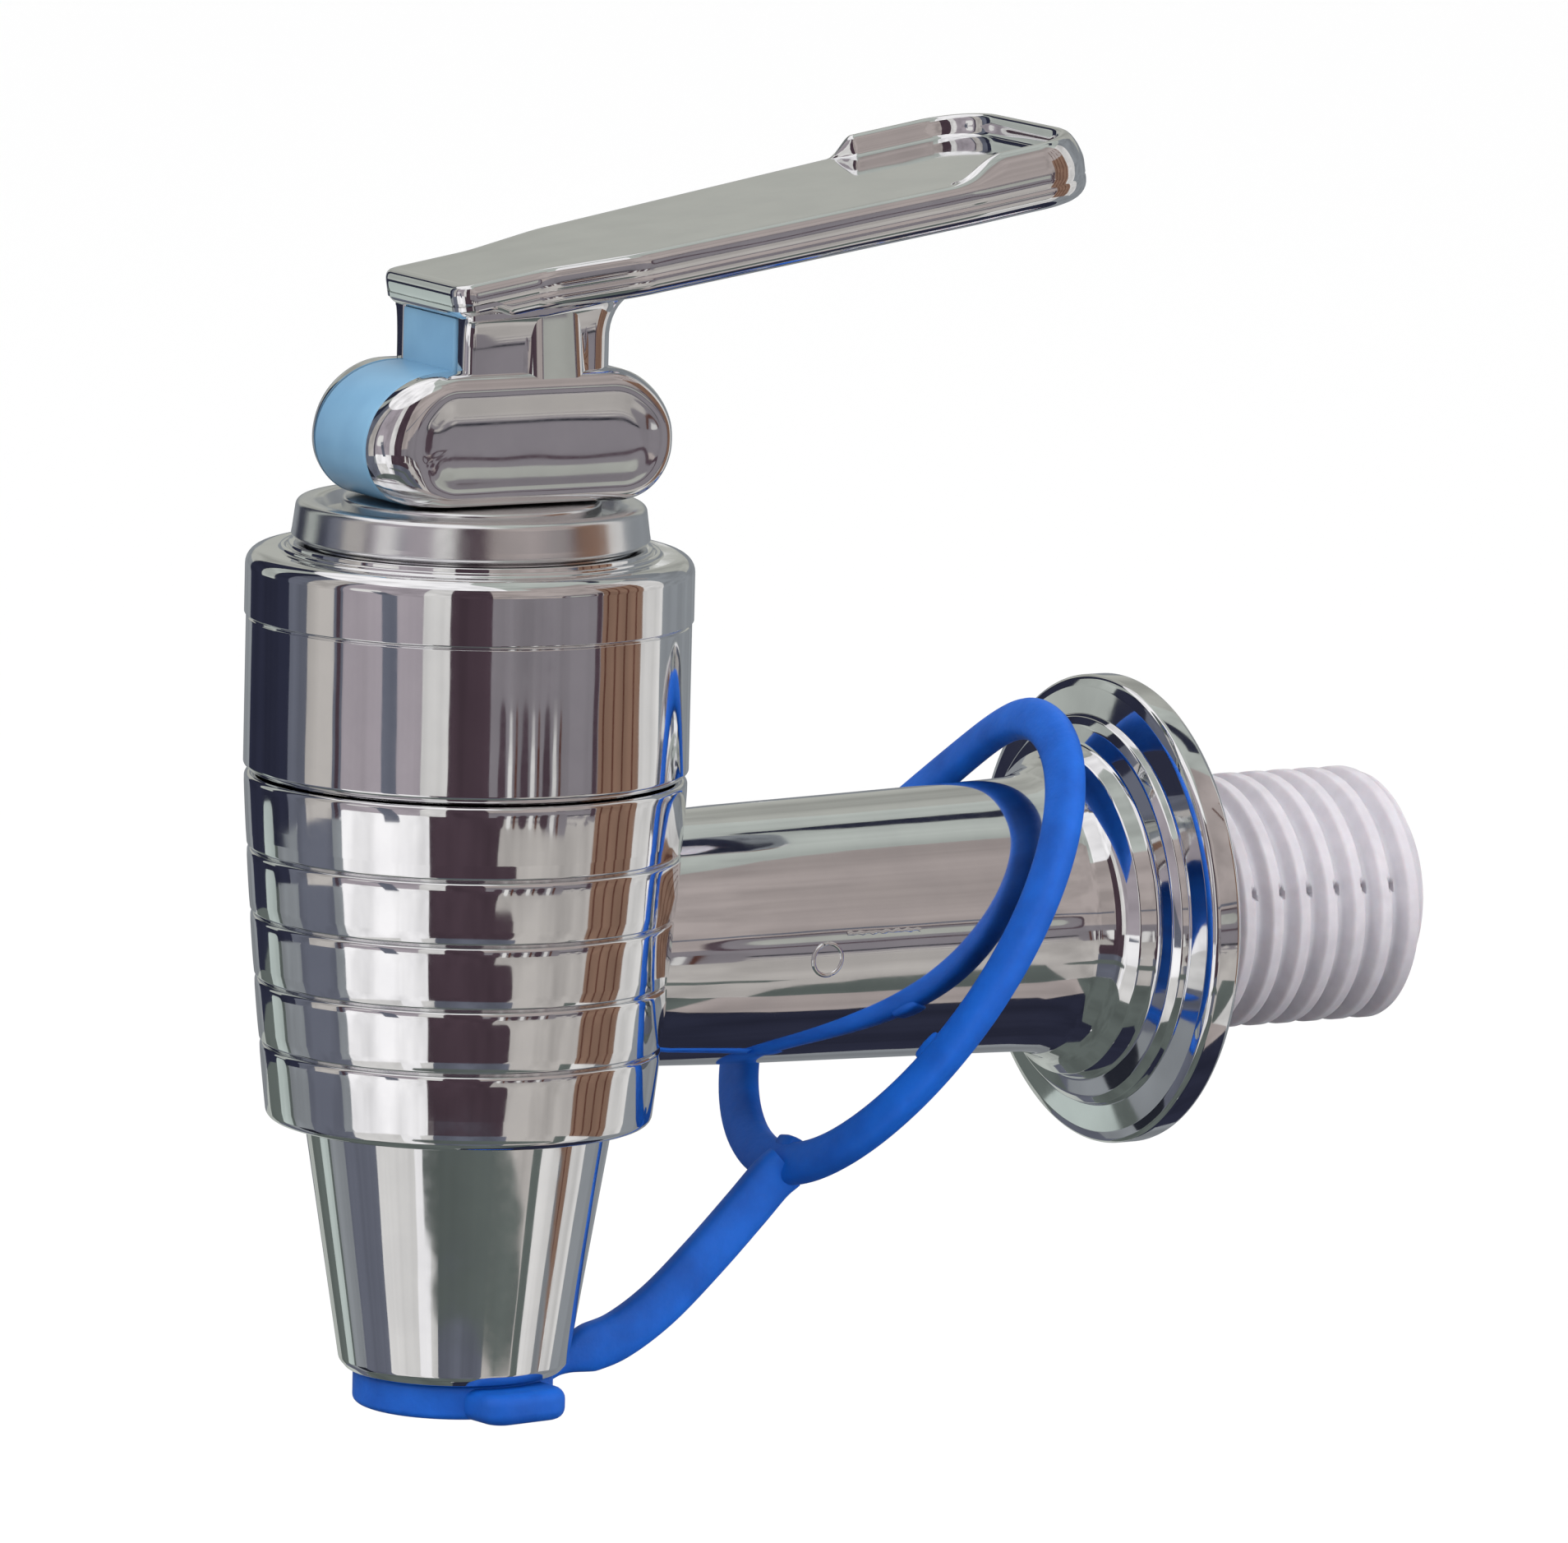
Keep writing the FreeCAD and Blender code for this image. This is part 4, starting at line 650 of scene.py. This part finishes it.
def band_block(path, wide_dirs, width, thick, closed, power=2.6, around=28):
    """Sweeps a soft oblong section; wide_dirs gives the section's wide direction at each point."""
    rings = []
    count = len(path)
    for index, spot in enumerate(path):
        ahead = path[(index + 1) % count] if closed or index + 1 < count else spot
        behind = path[index - 1] if closed or index > 0 else spot
        tangent = ahead - behind
        tangent /= np.linalg.norm(tangent)
        across = np.array(wide_dirs[index], float)
        across -= tangent * (across @ tangent)
        across /= np.linalg.norm(across)
        other = np.cross(tangent, across)
        w = width[index] / 2
        t = thick[index] / 2
        ring = []
        for k in range(around):
            angle = 2 * math.pi * k / around
            c, s = math.cos(angle), math.sin(angle)
            a = math.copysign(abs(c) ** (2 / power), c) * w
            b = math.copysign(abs(s) ** (2 / power), s) * t
            ring.append(tuple(spot + across * a + other * b))
        rings.append(ring)
    return rings_block(rings, caps=(not closed, not closed), wrap=closed)


# the loop is an ellipse whose long axis climbs towards the flange
LOOP_RISE = math.radians(58.2)
LOOP_LEAN = math.radians(8.4)
LOOP_ROLL = math.radians(-9.9)
LOOP_LONG = 19.5
LOOP_SHORT = 12.95
LOOP_POINTS = 160
LOOP_STEP = 360 / LOOP_POINTS
BAND_WIDE = 3.4
BAND_THICK = 2.2
long_axis = np.array([math.sin(LOOP_LEAN), math.cos(LOOP_RISE) * math.cos(LOOP_LEAN),
                      math.sin(LOOP_RISE) * math.cos(LOOP_LEAN)])
level_axis = np.cross((1.0, 0.0, 0.0), long_axis)
level_axis /= np.linalg.norm(level_axis)
short_axis = np.cross(long_axis, level_axis) * math.cos(LOOP_ROLL) + level_axis * math.sin(LOOP_ROLL)
centre = np.array([0.35, -20.25, -0.75])
SWAY = np.array([0.0, 3.4, -1.0])   # its far side leans to the flange
SAG = np.array([0.0, 0.3, -1.1])    # its low end hangs a little lower


def on_loop(turn):
    """A point of the loop's middle line, by a turn in degrees from its low end."""
    sway = math.exp(-((turn - 235) / 42) ** 2)
    sag = math.exp(-(min(turn, 360 - turn) / 45) ** 2)
    turn = math.radians(turn)
    spot = -LOOP_LONG * math.cos(turn) * long_axis + LOOP_SHORT * math.sin(turn) * short_axis
    return centre + spot + sway * SWAY + sag * SAG


loop_path = [on_loop(LOOP_STEP * k) for k in range(LOOP_POINTS)]
loop_block = band_block(loop_path, [centre - p for p in loop_path], [BAND_WIDE] * LOOP_POINTS,
                        [BAND_THICK] * LOOP_POINTS, True)

# the tail runs from the stopper to the loop, narrower at the stopper
TAIL = [(0, -50.7, -33.2), (0, -49.4, -32.6), (0, -47.4, -31.8), (0, -44.4, -30.9), (0, -40.8, -28.7),
        (0, -36.8, -25.2), (0, -33.2, -21.7), (0.1, -31.2, -19.6), (0.3, -30.0, -18.6)]
tail_path = smooth_line(TAIL, 10)
tail_wide = []
for index in range(len(tail_path)):
    tangent = tail_path[min(index + 1, len(tail_path) - 1)] - tail_path[max(index - 1, 0)]
    tail_wide.append(np.cross(tangent, (1.0, 0.0, 0.0)))
tail_width = [1.5 + 2.4 * smooth_step(-50.4, -46.6, spot[1]) for spot in tail_path]
tail_block = band_block(tail_path, tail_wide, tail_width, [BAND_THICK] * len(tail_path), False)

# two nubs on the loop's inner side: (turn, half length)
NUBS = ((9, 1.0), (70, 1.3))
NUB_SHARES = (0.0, 0.04, 0.12, 0.5, 0.88, 0.96, 1.0)
NUB_WIDTHS = [1.0, 1.7, 1.95, 2.1, 1.95, 1.7, 1.0]
NUB_THICKS = [0.9, 1.5, 1.7, 1.8, 1.7, 1.5, 0.9]
NUB_INWARD = 1.2
nub_blocks = []
for turn, length in NUBS:
    place = round(turn / LOOP_STEP)
    spot = loop_path[place]
    along = loop_path[place + 2] - loop_path[place - 2]
    along /= np.linalg.norm(along)
    inward = centre - spot
    inward /= np.linalg.norm(inward)
    ends = [spot + inward * NUB_INWARD - along * length, spot + inward * NUB_INWARD + along * length]
    nub_path = [ends[0] + (ends[1] - ends[0]) * share for share in NUB_SHARES]
    nub_blocks.append(band_block(nub_path, [inward] * len(nub_path), NUB_WIDTHS, NUB_THICKS, False, 4.0))
strap_piece = make_piece("strap_and_loop", [loop_block, tail_block] + nub_blocks, silicone, 60.0)
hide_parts("cap_strap")
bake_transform(strap_piece)

# Spring round the stem, made again here as a coil of wire between the ends of the CAD spring; the real spring
# shortens when the stem rises
spring_low, spring_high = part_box("spring")
COIL_R = 5.9
WIRE = 1.1
COIL_TURNS = 6.5
COIL_STEPS = 340
coil_low = spring_low[2] / MM + WIRE / 2
coil_high = spring_high[2] / MM - WIRE / 2
coil_path = []
for k in range(COIL_STEPS + 1):
    angle = 2 * math.pi * COIL_TURNS * k / COIL_STEPS + math.pi / 2
    coil_path.append(np.array([COIL_R * math.cos(angle), -REACH + COIL_R * math.sin(angle),
                               coil_low + (coil_high - coil_low) * k / COIL_STEPS]))
wires = [WIRE] * len(coil_path)
coil_block = band_block(coil_path, [(0.0, 0.0, 1.0)] * len(coil_path), wires, wires, False, 2.0, 14)
spring_piece = make_piece("spring_wire", [coil_block], CAD_MATERIALS["spring"], 60.0)
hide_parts("spring")
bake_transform(spring_piece)

# moulding marks on the pipe's near side: a small round mark and the end of a parting line
ROUND_MARK = (-32.3, -0.6)    # y and z
ROUND_MARK_R = 1.25
PIPE_R_THERE = 10.12          # the pipe's radius under the round mark
ROUND_MARK_WIRE = 0.34
MARK_POINTS = 48
LINE_START = -30.6
LINE_LENGTH = 6.4
LINE_POINTS = 24
mark_ring = []
for k in range(MARK_POINTS):
    y = ROUND_MARK[0] + ROUND_MARK_R * math.cos(2 * math.pi * k / MARK_POINTS)
    z = ROUND_MARK[1] + ROUND_MARK_R * math.sin(2 * math.pi * k / MARK_POINTS)
    mark_ring.append(np.array([math.sqrt(PIPE_R_THERE ** 2 - z * z), y, z]))
mark_line = []
for k in range(LINE_POINTS):
    y = LINE_START + LINE_LENGTH * k / (LINE_POINTS - 1)
    height = 1.3 + 0.05 * math.sin(2.1 * k)
    radius = 10.15 + (y - LINE_START) * 0.0255
    mark_line.append(np.array([math.sqrt(radius ** 2 - height * height), y, height]))
line_wide = [0.28 + 0.10 * math.sin(1.7 * k) for k in range(LINE_POINTS)]
mark_wires = [ROUND_MARK_WIRE] * MARK_POINTS
mark_blocks = [
    band_block(mark_ring, [(0.0, 1.0, 0.3)] * MARK_POINTS, mark_wires, mark_wires, True, 2.0, 12),
    band_block(mark_line, [(0.0, 0.0, 1.0)] * LINE_POINTS, line_wide, [0.16] * LINE_POINTS, False, 2.0, 12)]
marks = make_piece("pipe_marks", mark_blocks, chrome, 60.0)
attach(marks, "fixed_parts")

# Stopper: a flanged plug with a pull tab
disc = rounded_line([
    (0.001, -34.95), (7.7, -34.95, 0.5), (7.7, -32.3, 0.35), (6.45, -32.25, 0.05), (6.45, -27.7, 0.4),
    (5.0, -27.7, 0.4), (5.0, -32.0), (0.001, -32.0)], 6)
tab = resample(closed_round([(3.8, -3.8), (10.6, -3.8, 3.4), (10.6, 3.8, 3.4), (3.8, 3.8)], 10), 120)
TAB_TURN = math.radians(8.0)


def tab_place(a, b, height):
    """The tab's outline turned about the barrel's axis."""
    return (a * math.cos(TAB_TURN) - b * math.sin(TAB_TURN),
            -REACH + a * math.sin(TAB_TURN) + b * math.cos(TAB_TURN), height)


tab_block = soft_block(tab, round_levels(-34.95, -32.5, 0.9, 6), tab_place)
stopper = make_piece("stopper", [lathe_z(disc, 128), tab_block], silicone, 50.0)
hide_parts("spout_cap")
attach(stopper, "stopper_parts")


# Floor, cards and lights

def linear(level):
    """Scene value of a display level from 0 to 255."""
    level = level / 255.0
    return level / 12.92 if level <= 0.04045 else ((level + 0.055) / 1.055) ** 2.4


CARD_TONES = {
    "paper": (246, 244, 245), "light": (214, 212, 210), "stone": (180, 175, 171), "mauve": (160, 152, 158),
    "mist": (176, 181, 176), "steel": (134, 138, 142), "slate": (98, 101, 113), "olive": (93, 100, 97),
    "umber": (168, 158, 155), "dim": (126, 121, 126), "haze": (167, 168, 162), "sage": (176, 186, 182),
    "brown": (130, 103, 88), "rust": (82, 50, 42), "soot": (72, 58, 66), "navy": (42, 44, 60),
    "pitch": (34, 36, 44)}
card_materials = {}


def card_material(tone):
    """A card's glow, a little uneven, as on walls and furniture in a room."""
    if tone in card_materials:
        return card_materials[tone]
    mat = bpy.data.materials.new("card_" + tone)
    mat.use_nodes = True
    tree = mat.node_tree
    tree.nodes.remove(principled(mat))
    glow = tree.nodes.new("ShaderNodeEmission")
    colour = [linear(level) for level in CARD_TONES[tone]]
    shade = add_ramp(mat, add_noise(mat, 2.4).outputs["Fac"],
                     [(0.35, [0.82 * c for c in colour]), (0.6, [1.14 * c for c in colour])])
    tree.links.new(shade.outputs["Color"], glow.inputs["Color"])
    tree.links.new(glow.outputs["Emission"], tree.nodes["Material Output"].inputs["Surface"])
    card_materials[tone] = mat
    return mat


# camera, as fitted to the photograph's circles and edges
AZ = math.radians(60.19)
EL = 0.153241658
ROLL = 0.0249695
FOCAL_PIXELS = 17513.58
PHOTO_WIDTH = 1908.0
SENSOR = 36.0
back = Vector((math.sin(AZ) * math.cos(EL), -math.cos(AZ) * math.cos(EL), math.sin(EL)))
right = Vector((0, 0, 1)).cross(back).normalized()
up = back.cross(right)
right_rolled = right * math.cos(ROLL) + up * math.sin(ROLL)
up_rolled = up * math.cos(ROLL) - right * math.sin(ROLL)

camera_data = bpy.data.cameras.new("camera")
camera_data.sensor_fit = "HORIZONTAL"
camera_data.sensor_width = SENSOR
camera_data.lens = FOCAL_PIXELS * SENSOR / PHOTO_WIDTH
camera_data.clip_start = 0.01
camera_data.clip_end = 100.0
camera = bpy.data.objects.new("camera", camera_data)
bpy.context.scene.collection.objects.link(camera)
turn_matrix = Matrix((right_rolled, up_rolled, back)).transposed().to_4x4()
camera.matrix_world = Matrix.Translation(Vector((0.95341, -0.57703, 0.18215))) @ turn_matrix
bpy.context.scene.camera = camera


def stage_sheet(name, size, height, colour):
    """A level square sheet under the tap."""
    mesh = bpy.data.meshes.new(name)
    mesh.from_pydata([(-size, -size, height), (size, -size, height), (size, size, height),
                      (-size, size, height)], [], [(0, 1, 2, 3)])
    mesh.materials.append(node_material(name + "_paper", colour, roughness=0.9))
    obj = bpy.data.objects.new(name, mesh)
    bpy.context.scene.collection.objects.link(obj)
    obj.visible_glossy = False
    return obj


stage_sheet("floor", 40.0, -0.5, (0.93, 0.93, 0.93))
# a small grey sheet, which only keeps light from below off the tap's underside
shade_sheet = stage_sheet("shade_sheet", 0.45, -0.16, (0.16, 0.16, 0.17))
shade_sheet.visible_camera = False
shade_sheet.visible_shadow = False

CARD_SIDE = -29.81     # the camera's side, in degrees from +X
CARD_RINGS = (1.0, 0.8, 0.6, 0.4, 0.2, 0.02)


def card(name, az_low, az_high, el_low, el_high, tone, radius=1.6, lean=0.0, rounds=0.0, widen=0.0):
    """A curved card round the tap, in degrees from the photograph's side; only reflections see it."""
    corners = [(az_low, el_low, rounds), (az_high, el_low, rounds),
               (az_high + lean + widen, el_high, rounds), (az_low + lean, el_high, rounds)]
    outline = closed_round(corners, 8) if rounds else [corner[:2] for corner in corners]
    outline = resample(outline, 96)
    middle = np.array([(az_low + az_high + lean) / 2, (el_low + el_high) / 2])
    rings = []
    for share in CARD_RINGS:
        ring = []
        for az, el in middle + (outline - middle) * share:
            a = math.radians(az + CARD_SIDE)
            e = math.radians(el)
            ring.append((radius * math.cos(e) * math.cos(a),
                         -REACH * MM + radius * math.cos(e) * math.sin(a), radius * math.sin(e)))
        rings.append(ring)
    points, faces = rings_block(rings, caps=(False, True))
    mesh = bpy.data.meshes.new(name)
    mesh.from_pydata(points, [], faces)
    mesh.materials.append(card_material(tone))
    obj = bpy.data.objects.new(name, mesh)
    bpy.context.scene.collection.objects.link(obj)
    obj.visible_camera = False
    obj.visible_diffuse = False
    obj.visible_shadow = False
    obj.visible_transmission = False


# eye level: wall, curtain, door frame, dark cupboard, chairs, wooden post and window
card("wall_far_left", -180, -150, -13, 8, "steel")
card("curtain_left", -150, -104, -13, 46, "navy")
card("wall_left", -104, -66, -13, 46, "slate")
card("wall_left_lit", -90, -72, -13, 46, "stone", 1.59, 3)
card("wall_middle", -66, -22, -13, 46, "mauve")
card("frame_edge", -70, -67.5, -13, 30, "soot", 1.58)
card("wall_slant", -41, -33, -13, 8, "slate", 1.58, -9)
card("wall_patch", -62, -44, 3, 14, "light", 1.58, 0, 4)
card("door_frame", -22, -8, -13, 46, "light")
card("cupboard", -8, 13.5, -13, 46, "soot")
card("wall_right", 13, 73, -2, 46, "umber")
card("wall_right_low", 13, 73, -13, -2, "dim")
for index, start in enumerate((17, 28.5, 40)):
    card("chair_dark_%d" % index, start, start + 4.2, -13, -5.7, "soot", 0.50, 0.6, 1.9)
    card("chair_lit_%d" % index, start + 5.4, start + 7.6, -13, -6.0, "light", 0.49, 0.4, 0.9)
    card("chair_edge_%d" % index, start + 8.8, start + 10.0, -13, -5.8, "rust", 0.49, 0.4, 0.5)
card("chair_shade", 41, 55, -13, -5.6, "dim", 0.51, 0, 1.6)
card("chair_back", 69.5, 72.5, -11, 10, "soot", 1.58)
card("hollow_edge", 49, 69, -3.8, 5.4, "soot", 1.57, 0, 3.4)
card("hollow", 50.5, 67.5, -3.0, 4.7, "dim", 1.56, 0, 2.9)
card("hollow_core", 53.5, 65.5, -0.9, 3.2, "haze", 1.55, 0, 2.0)
card("rail", 16, 72, 6.5, 7.6, "slate", 1.58)
card("post", 73, 101, -24, 46, "brown")
for index, start in enumerate((75, 81.5, 88, 95)):
    card("post_line_%d" % index, start, start + 1.1, -24, 46, "rust", 1.58, 2.5)
card("window_right", 101, 118, -24, 46, "light")
card("wall_far_right", 118, 150, -42, 46, "steel")
card("wall_back_right", 150, 180, -42, 8, "steel")
card("wall_flange_top", -131, -117, -4.5, 46, "mist", 1.58)
card("wall_high_left", -180, -150, 8, 46, "haze")
card("wall_high_right", 150, 180, 8, 46, "haze")

# table height: what the bands show
card("table_far_left", -180, -150, -24, -13, "mist")
card("table_left_dark", -150, -116, -24, -13, "olive")
card("table_left_pale", -131, -119, -23, -10.4, "sage", 1.58, 0, 3)
card("table_left_lit", -116, -98, -24, -13, "steel")
card("table_left", -98, -72, -24, -13, "slate")
card("table_left_edge", -72, -64, -24, -13, "steel")
card("paper_sheet", -66, -17, -24.5, -9.6, "paper", 1.59, 0, 2.5)
card("bag", -17, 16, -24, -9.6, "soot", 1.59, 0, 0, 6)
card("bag_low", -17, 30, -24, -17, "soot", 1.58, 0, 4)
card("table_right", 14, 73, -24, -9.6, "stone")
card("table_edge", 24, 73, -9.7, -8.9, "pitch", 1.59)

# lower still: what the spout's cone shows
card("cloth_far_left", -180, -155, -42, -24, "mist")
card("cloth_left_deep", -155, -130, -42, -24, "slate")
card("cloth_left_grey", -130, -116, -42, -24, "steel")
card("cloth_left_dark", -116, -100, -42, -24, "pitch")
card("cloth_left", -100, -66, -42, -24, "slate")
card("cloth_white", -66, -28, -42, -24, "light")
card("cloth_bright", -30, -18, -42, -23, "paper", 1.59, -4)
card("table_white", -28, -14, -42, -24, "light")
card("table_dark", -14, 31, -42, -24, "slate")
card("table_olive", -12, 44, -31.4, -28.2, "olive", 0.50, -28, 0.9, 62)
card("table_pale", 31, 63, -42, -24, "stone")
card("table_line", 63, 71, -42, -24, "olive")
card("table_bright", 71, 89, -42, -24, "light")
card("table_end", 89, 118, -42, -24, "steel")

# ceiling and ground
card("ceiling_left", -180, 25, 46, 89, "paper")
card("ceiling_right", 25, 180, 46, 89, "mist")
card("ceiling_band", 40, 100, 30, 60, "umber", 1.58)
card("ceiling_line", 118, 152, 55, 58.5, "navy", 1.57)
card("ground_left", -180, 60, -89, -42, "olive")
card("ground_right", 60, 180, -89, -42, "navy")
card("ground_edge", 60, 82, -54, -42, "umber", 1.59)


def area_light(name, place, target, size, power):
    """A soft square light that mirrors don't show."""
    data = bpy.data.lights.new(name, "AREA")
    data.shape = "RECTANGLE"
    data.size = size
    data.size_y = size
    data.energy = power
    obj = bpy.data.objects.new(name, data)
    bpy.context.scene.collection.objects.link(obj)
    obj.location = place
    obj.rotation_euler = (Vector(target) - Vector(place)).to_track_quat("-Z", "Y").to_euler()
    obj.visible_glossy = False


TAP_MIDDLE = (0, -0.03, 0.01)
area_light("key", (0.5, -1.0, 1.1), TAP_MIDDLE, 0.9, 12.0)
area_light("fill", (1.1, 0.5, 0.7), TAP_MIDDLE, 0.9, 5.0)
area_light("back", (-0.8, 0.6, 0.9), TAP_MIDDLE, 0.8, 5.0)
area_light("low", (0.45, 0.25, -0.12), (0, 0.012, 0), 0.2, 0.8)

world = bpy.data.worlds.new("studio")
bpy.context.scene.world = world
world.use_nodes = True
background = world.node_tree.nodes["Background"]
background.inputs["Color"].default_value = (1.0, 1.0, 1.0, 1.0)
background.inputs["Strength"].default_value = 1.06

bpy.context.scene.view_settings.view_transform = "Standard"
